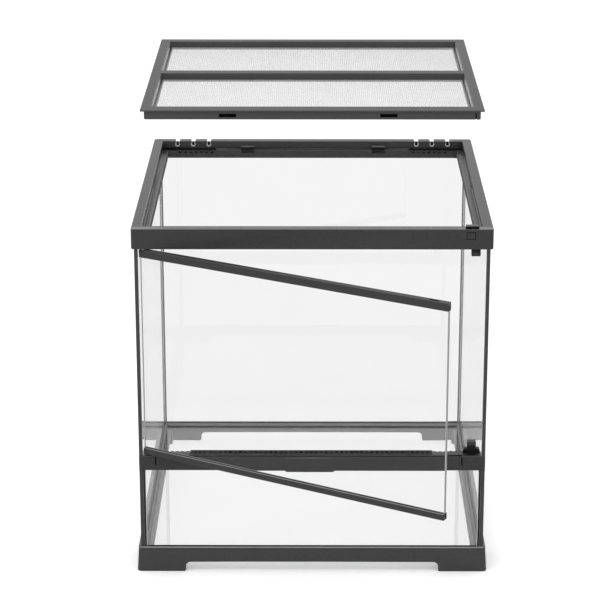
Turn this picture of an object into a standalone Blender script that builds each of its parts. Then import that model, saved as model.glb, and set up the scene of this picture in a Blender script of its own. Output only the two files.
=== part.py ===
"""Glass terrarium with a swinging front door and a lift-off mesh lid.

The tank frame has X across, Y from the front edges of the side panes to the
rear, and Z up from the table. The pieces stand as in the photograph: the door
is ajar and the lid is held above its seat.
"""

import math

import bmesh
import bpy
from mathutils import Matrix, Vector

MM = 0.001

# Fits
GAP = 0.3 * MM  # between pieces that rest on each other
RUN = 0.06 * MM  # radial clearance of a hinge pin in its bore
WELD = 0.01 * MM  # joins a curve's caps to its sides
PAST = 1 * MM  # how far a cutter goes past the face it opens

# Glass box
TANK_WIDTH = 450 * MM
TANK_DEPTH = 450 * MM
GLASS = 5 * MM
PANE_COVER = 9 * MM  # foot of the panes that stands inside the base
PANE_SINK = 15.5 * MM  # upper edges of the panes below the rim
LOW_PANE_TOP = 152 * MM  # top of the fixed pane below the door
SEAM = 1.9 * MM  # silicone seam beside the low pane
BEAD = 3.4 * MM  # silicone fillet inside the rear corners and round the floor
BEAD_EDGE = 0.68 * MM  # width that the floor's fillet keeps at its top
EDGE_TRIM = 1.0 * MM  # thickness of the dark strip on the side panes' front edges

# Base frame
BASE_HEIGHT = 34 * MM
BASE_WALL = 3.2 * MM
BASE_FLARE = 1.9 * MM  # how far the foot of the skirt stands out past its top
BASE_LEDGE = 15.7 * MM  # width of the ledge that carries the glass
BASE_LEDGE_THICKNESS = 3 * MM
BASE_CORNER = 5 * MM
FOOT_LENGTH = 64 * MM
ARCH_HEIGHT = 13.1 * MM
ARCH_FILLET = 6 * MM
ARCH_FILLET_SEGMENTS = 4
FOOT_POST = 16 * MM  # square post inside each foot

# Top frame
FRAME_TOP = 470.5 * MM
FRAME_HEIGHT = 26.5 * MM
FRAME_WALL = 3.3 * MM
FRAME_CORNER = 3.5 * MM
RIM_SIDE = 12.9 * MM
RIM_FRONT = 14.8 * MM
RIM_REAR = 13.4 * MM
LEDGE_WIDTH = 7.8 * MM
LEDGE_DROP = 10.9 * MM  # lid seat below the rim
LIP_HEIGHT = 12 * MM
RIB_WIDTH = 1.6 * MM
RIB_FROM_CORNER = 2.2 * MM
RIB_DROP = 1.0 * MM
BADGE_WIDTH = 12 * MM  # engraved square beside the lock
BADGE_HEIGHT = 9.6 * MM
BADGE_LINE = 0.9 * MM
BADGE_DEPTH = 0.6 * MM
BADGE_DROP = 3.7 * MM
BADGE_PAST_BOLT = 2.4 * MM  # its middle to the right of the bolt's

# Cable inlets and their gates
INLET_COUNT = 3  # on each side
INLET_PITCH = 22.5 * MM
INLET_INSET = 21.2 * MM  # outermost inlet from the rim's inner corner
INLET_RADIUS = 4.3 * MM
INLET_NOTCH = 5.6 * MM
INLET_DROP = 4.6 * MM
GROMMET_WALL = 1.0 * MM
GROMMET_LENGTH = 5.0 * MM
GROMMET_SEGMENTS = 24
GATE_THICKNESS = 1.0 * MM
GATE_MARGIN = 10.4 * MM  # plate past the outermost inlet
GATE_HEIGHT = 9.6 * MM  # of the plate above its web
GATE_HANDLE_HEIGHT = 5.3 * MM
GATE_GRIP_HEIGHT = 2.2 * MM
GATE_GRIP_COUNT = 7
GATE_GRIP_PITCH = 7.6 * MM
GATE_GRIP_WIDTH = 3.4 * MM
GATE_GRIP_DEPTH = 0.5 * MM

# Lid clips
CLIP_WIDTH = 18.2 * MM
CLIP_RISE = 5.4 * MM  # above the ledge
CLIP_DROP = 4.2 * MM  # below the ledge, on the lip's face
CLIP_THICKNESS = 1.0 * MM
CLIP_REAR_X = (-93.0 * MM, 94.7 * MM)
CLIP_FRONT_X = (-105.6 * MM, 95.3 * MM)
SLOT_WIDTH = 21.6 * MM  # slots in the lid's skirt, in front of the clips
SLOT_HEIGHT = 4.5 * MM
SLOT_DROP = 5.6 * MM

# Vent bar above the low pane
BAR_BOTTOM = 143.1 * MM
BAR_HEIGHT = 19.6 * MM
BAR_WALL = 2.7 * MM
DECK_THICKNESS = 3 * MM
DECK_DEPTH = 17.4 * MM  # behind the front edges of the side panes
BAR_REAR_WALL = 1.6 * MM
BAR_REAR_HEIGHT = 14 * MM
BAR_SLIT_WIDTH = 1.8 * MM
BAR_SLIT_HEIGHT = 11.5 * MM
BAR_SLIT_DROP = 0.9 * MM
BAR_SLIT_INSET_LEFT = 21.6 * MM  # from the bar's end
BAR_SLIT_INSET_RIGHT = 30.2 * MM
BAR_BOSS_WIDTH = 62.9 * MM
BAR_BOSS_X = -2.0 * MM
BAR_BOSS_PROUD = 0.8 * MM
BAR_BOSS_BELOW = 1.5 * MM
BAR_GROOVE_WIDTH = 1.6 * MM
BAR_GROOVE_DEPTH = 1.0 * MM
BAR_GROOVE_START = 10.8 * MM  # from the door's hinge end
GRILLE_INSET = 66.5 * MM  # each end of its opening from the bar's end
GRILLE_OVERHANG = 4.2 * MM  # behind the deck's rear edge
GRILLE_THICKNESS = 1.8 * MM
GRILLE_SINK = 0.3 * MM
GRILLE_PITCH = 6.6 * MM
GRILLE_SLOT = 3.4 * MM
GRILLE_BORDER = 3.0 * MM
COMB_COUNT = 4
COMB_NOTCH = 3.2 * MM
COMB_DEPTH = 2.0 * MM

# Door
DOOR_ANGLE = 29.5  # degrees open at rest
DOOR_RAIL_DEPTH = 8.5 * MM
DOOR_TOP_RAIL_HEIGHT = 10.3 * MM
DOOR_BOTTOM_RAIL_HEIGHT = 8.4 * MM
DOOR_TOP_WEB = 3.8 * MM
DOOR_BOTTOM_WEB = 2.4 * MM
DOOR_SIDE_GAP = 2.3 * MM  # to the inner faces of the side panes
DOOR_TOP_GAP = 2.1 * MM
DOOR_BOTTOM_GAP = 1.4 * MM
PIN_RADIUS = 2.0 * MM
PIN_COLLAR_RADIUS = 3.6 * MM
PIN_SEAT = 3.6 * MM  # length of pin held in the frame
PIN_SEGMENTS = 32
LOCK_SLOT_FROM_END = 13.5 * MM
LOCK_SLOT_LENGTH = 13.0 * MM
LOCK_SLOT_WIDTH = 5.2 * MM

# Lock
LOCK_TAB_WIDTH = 16.7 * MM
LOCK_TAB_DEPTH = 8.2 * MM
LOCK_TAB_THICKNESS = 1.9 * MM
LOCK_SHOULDER = 0.5 * MM  # tab past the bolt at its left and rear
LOCK_LIFT = 3.4 * MM  # raised at rest by this travel
LOCK_BOLT_WIDTH = 7.6 * MM
LOCK_BOLT_THICKNESS = 4.4 * MM
LOCK_POCKET_DEPTH = 2.0 * MM
LOCK_BOLT_CLEAR = 0.6 * MM  # raised bolt above the closed door

# Door stops
STOP_INSET = 10.2 * MM  # its middle from the closed door's free end
STOP_WIDTH = 11.7 * MM
STOP_HEIGHT = 16 * MM
STOP_DEPTH = 8.4 * MM
STOP_WING_WIDTH = 21.9 * MM
STOP_WING_HEIGHT = 6 * MM
STOP_SCOOP = 2.2 * MM  # width of the hollow in each wing's face
STOP_TONGUE_WIDTH = 10.6 * MM
STOP_TONGUE_THICKNESS = 0.8 * MM
STOP_TONGUE_LENGTH = 6 * MM
STOP_TONGUE_LIFT = 0.1 * MM
STOP_SHOULDER = 1.6 * MM  # slope at the top of each wing
STOP_SCREW_PITCH = 8.3 * MM
STOP_SCREW_RADIUS = 1.1 * MM
STOP_SCREW_SEGMENTS = 20
STOP_SCREW_DEPTH = 3 * MM
STOP_SCREW_DROP = 2.6 * MM

# Lid
LID_LIFT = 147 * MM  # lid above its seat, as it is held in the photograph
LID_PLAY = 1.2 * MM
LID_HEIGHT = 13 * MM
LID_PLATE = 2 * MM
LID_WALL = 2 * MM
LID_OVERHANG = 4.4 * MM
LID_CORNER = 4 * MM
LID_BAR_SIDE = 13.1 * MM
LID_BAR_FRONT = 20.5 * MM
LID_BAR_REAR = 14.7 * MM
LID_CROSSBAR = 16.3 * MM
LID_CROSSBAR_FROM_FRONT = 209.2 * MM
MESH_DROP = 8.2 * MM
MESH_THICKNESS = 0.9 * MM
MESH_LIP = 4 * MM
MESH_LIP_THICKNESS = 1.5 * MM
MESH_COLUMNS = 12
MESH_ROWS = 6  # in each of the two panels
MESH_BAR = 5 * MM
LID_NOTCH_INSET = 10.5 * MM  # from the right edge of the lid
LID_NOTCH_WIDTH = 1.8 * MM
LID_NOTCH_HEIGHT = 8 * MM

# Places worked out from the sizes above
HALF = TANK_WIDTH / 2
INNER = HALF - GLASS
REAR_INNER = TANK_DEPTH - GLASS
FRAME_OUT = HALF + GAP + FRAME_WALL
FRAME_FRONT = -GAP - FRAME_WALL
FRAME_REAR = TANK_DEPTH + GAP + FRAME_WALL
FRAME_BOTTOM = FRAME_TOP - FRAME_HEIGHT
PANE_BOTTOM = BASE_HEIGHT - PANE_COVER
PANE_TOP = FRAME_TOP - PANE_SINK
LEDGE_Z = FRAME_TOP - LEDGE_DROP
LIP_BOTTOM = LEDGE_Z - LIP_HEIGHT
RIM_X = FRAME_OUT - RIM_SIDE
RIM_Y = (FRAME_FRONT + RIM_FRONT, FRAME_REAR - RIM_REAR)
MOUTH_X = RIM_X - LEDGE_WIDTH
MOUTH_Y = (RIM_Y[0] + LEDGE_WIDTH, RIM_Y[1] - LEDGE_WIDTH)
BASE_OUT = HALF + GAP + BASE_WALL
BASE_FRONT = -GAP - BASE_WALL
BASE_REAR = TANK_DEPTH + GAP + BASE_WALL
BASE_LEDGE_TOP = PANE_BOTTOM - GAP
BAR_TOP = BAR_BOTTOM + BAR_HEIGHT
GRILLE_HALF = HALF - GRILLE_INSET
DOOR_HALF = INNER - DOOR_SIDE_GAP
STOP_X = DOOR_HALF - STOP_INSET
LOCK_SLOT_MIDDLE = DOOR_HALF - LOCK_SLOT_FROM_END - LOCK_SLOT_LENGTH / 2
INLET_FIRST = RIM_X - INLET_INSET - (INLET_COUNT - 1) * INLET_PITCH
DOOR_TOP = FRAME_BOTTOM - DOOR_TOP_GAP
DOOR_BOTTOM = BAR_TOP + DOOR_BOTTOM_GAP
PIVOT_INSET = DOOR_RAIL_DEPTH / 2
PIVOT = Vector((-DOOR_HALF + PIVOT_INSET, PIVOT_INSET, 0))
DOOR_LENGTH = 2 * DOOR_HALF
DOOR_END = DOOR_LENGTH - PIVOT_INSET
LID_X = RIM_X - LID_PLAY
LID_Y = (RIM_Y[0] + LID_PLAY, RIM_Y[1] - LID_PLAY)
LID_SEAT_TOP = LEDGE_Z + GAP + LID_HEIGHT
GATE_WEB_TOP = LEDGE_Z - GAP
GATE_WEB_BOTTOM = GATE_WEB_TOP - GATE_THICKNESS
GATE_TRAVEL = INLET_PITCH / 2
GATE_LENGTH = (INLET_COUNT - 1) * INLET_PITCH + 2 * GATE_MARGIN
GATE_MIDDLE = INLET_FIRST + (INLET_COUNT - 1) * INLET_PITCH / 2
GATE_Y = RIM_Y[1] + GAP + GROMMET_LENGTH + GAP
HANDLE_X = (GATE_MIDDLE - GATE_LENGTH / 2, MOUTH_X - 2 * GAP - GATE_TRAVEL)
DOOR_SWING = math.radians(DOOR_ANGLE)
DOOR_FRONT_REACH = PIVOT.y - DOOR_END * math.sin(DOOR_SWING) - PIVOT_INSET * math.cos(DOOR_SWING)
MIDDLE_Y = (DOOR_FRONT_REACH + BASE_REAR + BASE_FLARE) / 2


def clear_scene():
    for obj in list(bpy.data.objects):
        bpy.data.objects.remove(obj, do_unlink=True)


def new_collection(name):
    collection = bpy.data.collections.new(name)
    bpy.context.scene.collection.children.link(collection)
    return collection


def new_material(name, colour, roughness, metallic=0.0, transmission=0.0):
    material = bpy.data.materials.new(name)
    material.use_nodes = True
    shader = material.node_tree.nodes["Principled BSDF"]
    shader.inputs["Base Color"].default_value = (*colour, 1.0)
    shader.inputs["Roughness"].default_value = roughness
    shader.inputs["Metallic"].default_value = metallic
    shader.inputs["Transmission Weight"].default_value = transmission
    material.diffuse_color = (*colour, 1.0)
    return material


def new_empty(name, location, parent=None, turn=0.0):
    empty = bpy.data.objects.new(name, None)
    empty.location = location
    empty.rotation_euler = (0, 0, turn)
    empty.parent = parent
    PARTS.objects.link(empty)
    return empty


def place_mesh(name, bm, location, parent, material=None):
    """A mesh object from bm. With no material it is a cutter."""
    mesh = bpy.data.meshes.new(name)
    bm.to_mesh(mesh)
    bm.free()
    obj = bpy.data.objects.new(name, mesh)
    obj.location = location
    obj.parent = parent
    if material is None:
        CUTTERS.objects.link(obj)
        obj.hide_render = True
        obj.display_type = "WIRE"
    else:
        PARTS.objects.link(obj)
        mesh.materials.append(material)
    return obj


def middle(span):
    return (span[0] + span[1]) / 2


def centre_of(x, y, z):
    return Vector((middle(x), middle(y), middle(z)))


def box_mesh(spans, around):
    """Boxes given as (x, y, z) spans, in one mesh about the point around."""
    bm = bmesh.new()
    for x, y, z in spans:
        size = Vector((x[1] - x[0], y[1] - y[0], z[1] - z[0]))
        place = Matrix.Translation(centre_of(x, y, z) - around)
        bmesh.ops.create_cube(bm, size=1, matrix=place @ Matrix.Diagonal((*size, 1)))
    return bm


def edges_along(bm, axis):
    found = []
    for edge in bm.edges:
        run = (edge.verts[0].co - edge.verts[1].co).normalized()
        if abs(run[axis]) > 0.9:
            found.append(edge)
    return found


def round_edges(bm, edges, radius, segments=3):
    bmesh.ops.bevel(bm, geom=edges, offset=radius, segments=segments, profile=0.5, affect="EDGES")


def box(name, x, y, z, parent, material, corner=0.0):
    """A box with, if asked, rounded upright edges."""
    around = centre_of(x, y, z)
    bm = box_mesh([(x, y, z)], around)
    if corner:
        round_edges(bm, edges_along(bm, 2), corner)
    return place_mesh(name, bm, around, parent, material)


def boolean(target, helper, operation):
    modifier = target.modifiers.new(helper.name, "BOOLEAN")
    modifier.operation = operation
    modifier.solver = "EXACT"
    modifier.object = helper


def cut(target, label, *spans):
    """Cuts boxes that don't touch each other out of target."""
    helper = place_mesh(f"{target.name}_{label}", box_mesh(spans, Vector()), (0, 0, 0), target.parent)
    boolean(target, helper, "DIFFERENCE")


def join(target, label, *spans):
    """Adds boxes that don't touch each other to target."""
    helper = place_mesh(f"{target.name}_{label}", box_mesh(spans, Vector()), (0, 0, 0), target.parent)
    boolean(target, helper, "UNION")


def rod_mesh(radius, length, axis, centres, segments=PIN_SEGMENTS):
    """Cylinders of one size along the Y or the Z axis, at each of the centres."""
    turn = Matrix.Rotation(math.pi / 2, 4, "X") if axis == "Y" else Matrix.Identity(4)
    bm = bmesh.new()
    for centre in centres:
        bmesh.ops.create_cone(
            bm,
            cap_ends=True,
            segments=segments,
            radius1=radius,
            radius2=radius,
            depth=length,
            matrix=Matrix.Translation(centre) @ turn,
        )
    return bm


def bore(target, label, radius, length, axis, *centres):
    bm = rod_mesh(radius, length, axis, centres)
    helper = place_mesh(f"{target.name}_{label}", bm, (0, 0, 0), target.parent)
    boolean(target, helper, "DIFFERENCE")


def mirrored(span):
    return (-span[1], -span[0])


def inner_ring(x, y, wall):
    """The spans inside a wall of even thickness."""
    return (x[0] + wall, x[1] - wall), (y[0] + wall, y[1] - wall)


def make_panes(tank):
    side_z = (PANE_BOTTOM, PANE_TOP)
    right = (INNER, HALF)
    between = (-INNER + GAP, INNER - GAP)
    box("right_glass", right, (0, TANK_DEPTH), side_z, tank, GLASS_LOOK)
    box("left_glass", mirrored(right), (0, TANK_DEPTH), side_z, tank, GLASS_LOOK)
    box("back_glass", between, (REAR_INNER, TANK_DEPTH), side_z, tank, GLASS_LOOK)
    floor_y = (GLASS + GAP, REAR_INNER - GAP)
    box("floor_glass", between, floor_y, (PANE_BOTTOM, PANE_BOTTOM + GLASS), tank, GLASS_LOOK)
    low_half = INNER - GAP - SEAM - GAP
    low_z = (PANE_BOTTOM, LOW_PANE_TOP)
    box("front_low_glass", (-low_half, low_half), (0, GLASS), low_z, tank, GLASS_LOOK)


def make_seams(tank):
    """Silicone beside the low pane, in the rear corners and round the floor."""
    floor_top = PANE_BOTTOM + GLASS + GAP
    seam = (INNER - GAP - SEAM, INNER - GAP)
    seam_z = (PANE_BOTTOM, BAR_BOTTOM - GAP)
    box("seam_front_right", seam, (0, GLASS), seam_z, tank, SILICONE)
    box("seam_front_left", mirrored(seam), (0, GLASS), seam_z, tank, SILICONE)
    for side, name in ((1, "seam_rear_right"), (-1, "seam_rear_left")):
        corner_bead(name, side, (floor_top + BEAD + GAP, LIP_BOTTOM - GAP), tank)
    floor_x = (-INNER + GAP, INNER - GAP)
    floor_y = (GLASS + GAP, REAR_INNER - GAP)
    ring = box("seam_floor", floor_x, floor_y, (floor_top, floor_top + BEAD), tank, SILICONE)
    hollow_z = (floor_top - BEAD / 2, floor_top + BEAD + BEAD / 2)
    lean = (BEAD - BEAD_EDGE) / 2
    hollow = tapered_box_mesh(floor_x, floor_y, hollow_z, -BEAD - lean, lean - BEAD_EDGE)
    helper = place_mesh("seam_floor_hollow", hollow, centre_of(floor_x, floor_y, hollow_z), tank)
    boolean(ring, helper, "DIFFERENCE")


def corner_bead(name, side, z, tank):
    """A three-sided fillet between a side pane and the rear pane."""
    outer = Vector((side * (INNER - GAP), REAR_INNER - GAP))
    points = [outer, outer - Vector((side * BEAD, 0)), outer - Vector((0, BEAD))]
    outline_solid(name, points, z, tank, SILICONE)


def outline_mesh(points, thickness):
    """A flat outline given by its corner points, as a solid about the middle of its thickness."""
    curve = bpy.data.curves.new("outline", "CURVE")
    curve.dimensions = "2D"
    curve.fill_mode = "BOTH"
    curve.extrude = thickness / 2
    spline = curve.splines.new("POLY")
    spline.points.add(len(points) - 1)
    for slot, point in zip(spline.points, points):
        slot.co = (point[0], point[1], 0, 1)
    spline.use_cyclic_u = True
    holder = bpy.data.objects.new("outline", curve)
    bpy.context.scene.collection.objects.link(holder)
    graph = bpy.context.evaluated_depsgraph_get()
    mesh = bpy.data.meshes.new_from_object(holder.evaluated_get(graph))
    bpy.data.objects.remove(holder)
    bm = bmesh.new()
    bm.from_mesh(mesh)
    bmesh.ops.remove_doubles(bm, verts=bm.verts, dist=WELD)
    bmesh.ops.recalc_face_normals(bm, faces=bm.faces)
    return bm


def outline_solid(name, points, z, parent, material):
    """An outline of X and Y points, raised from z[0] to z[1]."""
    bm = outline_mesh(points, z[1] - z[0])
    return place_mesh(name, bm, (0, 0, middle(z)), parent, material)


def side_profile_solid(name, points, x, parent, material):
    """An outline of Y and Z points, drawn out along X from x[0] to x[1]."""
    obj = place_mesh(name, outline_mesh(points, x[1] - x[0]), (middle(x), 0, 0), parent, material)
    obj.rotation_euler = (math.pi / 2, 0, math.pi / 2)
    return obj


def hook_profile(back, shoulder, top, web, tip, bottom):
    """Outline of a strip that stands up at the back, runs forward and turns down at its tip."""
    return [
        (back, web[0]),
        (back, top),
        (shoulder, top),
        (shoulder, web[1]),
        (tip[1], web[1]),
        (tip[1], bottom),
        (tip[0], bottom),
        (tip[0], web[0]),
    ]


def tapered_box_mesh(x, y, z, low_grow, high_grow):
    """A box whose bottom and top are grown on each side by their own amounts."""
    around = centre_of(x, y, z)
    bm = box_mesh([(x, y, z)], around)
    for vert in bm.verts:
        grow = high_grow if vert.co.z > 0 else low_grow
        vert.co.x += grow * math.copysign(1, vert.co.x)
        vert.co.y += grow * math.copysign(1, vert.co.y)
    return bm


def make_edge_trims(tank):
    """Dark strips on the front edges of the side panes, above and below the vent bar."""
    strip = (INNER + GAP, HALF)
    y = (-GAP - EDGE_TRIM, -GAP)
    heights = {
        "lower": (BASE_HEIGHT + GAP, BAR_BOTTOM - GAP),
        "upper": (BAR_TOP + GAP, FRAME_BOTTOM - GAP),
    }
    for level, z in heights.items():
        box(f"edge_trim_{level}_right", strip, y, z, tank, TRIM)
        box(f"edge_trim_{level}_left", mirrored(strip), y, z, tank, TRIM)


def make_base_frame(tank):
    x = (-BASE_OUT, BASE_OUT)
    y = (BASE_FRONT, BASE_REAR)
    z = (0, BASE_HEIGHT)
    bm = tapered_box_mesh(x, y, z, BASE_FLARE, 0)
    round_edges(bm, edges_along(bm, 2), BASE_CORNER)
    base = place_mesh("base_frame", bm, centre_of(x, y, z), tank, PLASTIC)
    seat_x, seat_y = inner_ring(x, y, BASE_WALL)
    ledge_x, ledge_y = inner_ring(seat_x, seat_y, BASE_LEDGE)
    below = BASE_LEDGE_TOP - BASE_LEDGE_THICKNESS
    cut(base, "glass_seat", (seat_x, seat_y, (BASE_LEDGE_TOP, BASE_HEIGHT + PAST)))
    cut(base, "underside_long", (seat_x, widened(seat_y, -FOOT_POST), (-PAST, below)))
    cut(base, "underside_wide", (widened(seat_x, -FOOT_POST), seat_y, (-PAST, below)))
    cut(base, "floor_opening", (ledge_x, ledge_y, (below - PAST, BASE_LEDGE_TOP + PAST)))
    arch_x = (-BASE_OUT - BASE_FLARE + FOOT_LENGTH, BASE_OUT + BASE_FLARE - FOOT_LENGTH)
    arch_y = (BASE_FRONT - BASE_FLARE + FOOT_LENGTH, BASE_REAR + BASE_FLARE - FOOT_LENGTH)
    past = BASE_FLARE + PAST
    arch(base, "front_arch", arch_x, widened(y, past), 1)
    arch(base, "side_arch", widened(x, past), arch_y, 0)


def arch(base, label, x, y, through):
    """Cuts a low opening between the feet, with rounded upper corners."""
    z = (-ARCH_HEIGHT, ARCH_HEIGHT)
    bm = box_mesh([(x, y, z)], centre_of(x, y, z))
    round_edges(bm, edges_along(bm, through), ARCH_FILLET, ARCH_FILLET_SEGMENTS)
    helper = place_mesh(f"base_frame_{label}", bm, centre_of(x, y, z), base.parent)
    boolean(base, helper, "DIFFERENCE")


def make_top_frame(tank):
    x = (-FRAME_OUT, FRAME_OUT)
    y = (FRAME_FRONT, FRAME_REAR)
    above = FRAME_TOP + PAST
    low = FRAME_BOTTOM - PAST
    groove_z = (low, PANE_TOP + GAP)
    frame = box("top_frame", x, y, (FRAME_BOTTOM, FRAME_TOP), tank, PLASTIC, FRAME_CORNER)
    cut(frame, "mouth", ((-MOUTH_X, MOUTH_X), MOUTH_Y, (low, above)))
    cut(frame, "rim_pocket", ((-RIM_X, RIM_X), RIM_Y, (LEDGE_Z, above)))
    inside = (-INNER + GAP, INNER - GAP)
    cut(frame, "underside", (inside, (-GAP, REAR_INNER - GAP), (low, LIP_BOTTOM)))
    side = (INNER - GAP, HALF + GAP)
    full_y = (-GAP, TANK_DEPTH + GAP)
    cut(frame, "side_grooves", (side, full_y, groove_z), (mirrored(side), full_y, groove_z))
    cut(frame, "rear_groove", (inside, (REAR_INNER - GAP, TANK_DEPTH + GAP), groove_z))
    cut_inlets(frame)
    cut_gate_slots(frame)
    cut_clip_seats(frame)
    cut_lock_way(frame)
    cut_badge(frame)
    pin_hole = Vector((PIVOT.x, PIVOT.y, LIP_BOTTOM))
    bore(frame, "pin_hole", PIN_RADIUS + RUN, 2 * PIN_SEAT + 2 * GAP, "Z", pin_hole)
    rib = (RIM_X - RIB_FROM_CORNER - RIB_WIDTH, RIM_X - RIB_FROM_CORNER)
    rib_y = (RIM_Y[1] - LID_PLAY / 2, RIM_Y[1] + PAST)
    rib_z = (LEDGE_Z + GAP, FRAME_TOP - RIB_DROP)
    join(frame, "ribs", (rib, rib_y, rib_z), (mirrored(rib), rib_y, rib_z))


def inlet_places():
    """Distances of the cable inlets from the middle, on one side."""
    return [INLET_FIRST + count * INLET_PITCH for count in range(INLET_COUNT)]


def cut_inlets(frame):
    z = FRAME_TOP - INLET_DROP
    y = middle((RIM_Y[1], FRAME_REAR))
    through = RIM_REAR + 2 * PAST
    centres = []
    notches = []
    for place in inlet_places():
        for side in (-1, 1):
            centres.append(Vector((side * place, y, z)))
            notch = (side * place - INLET_NOTCH / 2, side * place + INLET_NOTCH / 2)
            notches.append((notch, (y - through / 2, y + through / 2), (z, FRAME_TOP + PAST)))
    bore(frame, "inlets", INLET_RADIUS, through, "Y", *centres)
    cut(frame, "inlet_notches", *notches)


def gate_span(side, extra=0.0):
    """X span of a gate's plate, or of its slot when extra travel is given."""
    low = GATE_MIDDLE - GATE_LENGTH / 2
    high = GATE_MIDDLE + GATE_LENGTH / 2 + extra
    return (low, high) if side > 0 else (-high, -low)


def cut_gate_slots(frame):
    """An L-shaped way for each gate: along the ledge, then up inside the rear wall."""
    for side, word in ((-1, "left"), (1, "right")):
        low, high = gate_span(side, GATE_TRAVEL)
        x = (low - GAP, high + GAP)
        plate_y = (GATE_Y - GAP, GATE_Y + GATE_THICKNESS + GAP)
        web_z = (GATE_WEB_BOTTOM - GAP, LEDGE_Z)
        cut(frame, f"gate_way_{word}", (x, (MOUTH_Y[1] - PAST, plate_y[1]), web_z))
        plate_top = GATE_WEB_TOP + GATE_HEIGHT + GAP
        cut(frame, f"gate_pocket_{word}", (x, plate_y, (web_z[1] - PAST, plate_top)))


def cut_clip_seats(frame):
    """Shallow seats across the ledge, one under each lid clip."""
    seats = []
    seat_z = (LEDGE_Z - CLIP_THICKNESS - 2 * GAP, LEDGE_Z + PAST)
    for x in CLIP_REAR_X:
        seats.append((clip_seat(x), (MOUTH_Y[1] - PAST, RIM_Y[1]), seat_z))
    for x in CLIP_FRONT_X:
        seats.append((clip_seat(x), (RIM_Y[0], MOUTH_Y[0] + PAST), seat_z))
    cut(frame, "clip_seats", *seats)


def clip_seat(x):
    half = CLIP_WIDTH / 2 + GAP
    return (x - half, x + half)


def lock_bolt_x():
    """The bolt drops into the middle of the slot in the closed door's top rail."""
    return (LOCK_SLOT_MIDDLE - LOCK_BOLT_WIDTH / 2, LOCK_SLOT_MIDDLE + LOCK_BOLT_WIDTH / 2)


def lock_tab_x():
    low = lock_bolt_x()[0] - LOCK_SHOULDER
    return (low, low + LOCK_TAB_WIDTH)


def lock_bolt_y():
    return (PIVOT.y - LOCK_BOLT_THICKNESS / 2, PIVOT.y + LOCK_BOLT_THICKNESS / 2)


def lock_tab_y():
    rear = lock_bolt_y()[1] + LOCK_SHOULDER
    return (rear - LOCK_TAB_DEPTH, rear)


def widened(span, by):
    return (span[0] - by, span[1] + by)


def cut_lock_way(frame):
    """The bolt's shaft goes down through the front rim, and its tab sinks into a pocket."""
    floor = FRAME_TOP - LOCK_POCKET_DEPTH
    shaft = (widened(lock_bolt_x(), GAP), widened(lock_bolt_y(), GAP), (LIP_BOTTOM - PAST, floor + PAST))
    pocket = (widened(lock_tab_x(), GAP), widened(lock_tab_y(), GAP), (floor, FRAME_TOP + PAST))
    cut(frame, "lock_pocket", pocket)
    cut(frame, "lock_shaft", shaft)


def cut_badge(frame):
    """A square outline engraved in the front face, beside the lock."""
    badge_x = LOCK_SLOT_MIDDLE + BADGE_PAST_BOLT
    x = (badge_x - BADGE_WIDTH / 2, badge_x + BADGE_WIDTH / 2)
    top = FRAME_TOP - BADGE_DROP
    z = (top - BADGE_HEIGHT, top)
    y = (FRAME_FRONT - PAST, FRAME_FRONT + BADGE_DEPTH)
    left = ((x[0], x[0] + BADGE_LINE), y, z)
    right = ((x[1] - BADGE_LINE, x[1]), y, z)
    cut(frame, "badge_sides", left, right)
    inside = (x[0] + BADGE_LINE / 2, x[1] - BADGE_LINE / 2)
    upper = (inside, y, (z[1] - BADGE_LINE, z[1]))
    lower = (inside, y, (z[0], z[0] + BADGE_LINE))
    cut(frame, "badge_ends", upper, lower)


def make_grommets(tank):
    """A soft open ring in each cable inlet."""
    z = FRAME_TOP - INLET_DROP
    y = (RIM_Y[1] + GAP, RIM_Y[1] + GAP + GROMMET_LENGTH)
    outer = INLET_RADIUS - GAP
    for side, word in ((-1, "left"), (1, "right")):
        for count, place in enumerate(inlet_places()):
            centre = Vector((side * place, middle(y), z))
            bm = rod_mesh(outer, GROMMET_LENGTH, "Y", [Vector()], GROMMET_SEGMENTS)
            ring = place_mesh(f"grommet_{word}_{count + 1}", bm, centre, tank, GROMMET)
            bore(ring, "hole", outer - GROMMET_WALL, GROMMET_LENGTH + 2 * PAST, "Y", centre)
            notch = (centre.x - INLET_NOTCH / 2, centre.x + INLET_NOTCH / 2)
            cut(ring, "notch", (notch, (y[0] - PAST, y[1] + PAST), (z, z + 2 * outer)))


def make_gates(tank):
    for side, word in ((-1, "left"), (1, "right")):
        slide = new_empty(f"gate_slide_{word}", (0, GATE_Y, LEDGE_Z), tank)
        make_gate(side, word, slide)


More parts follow.
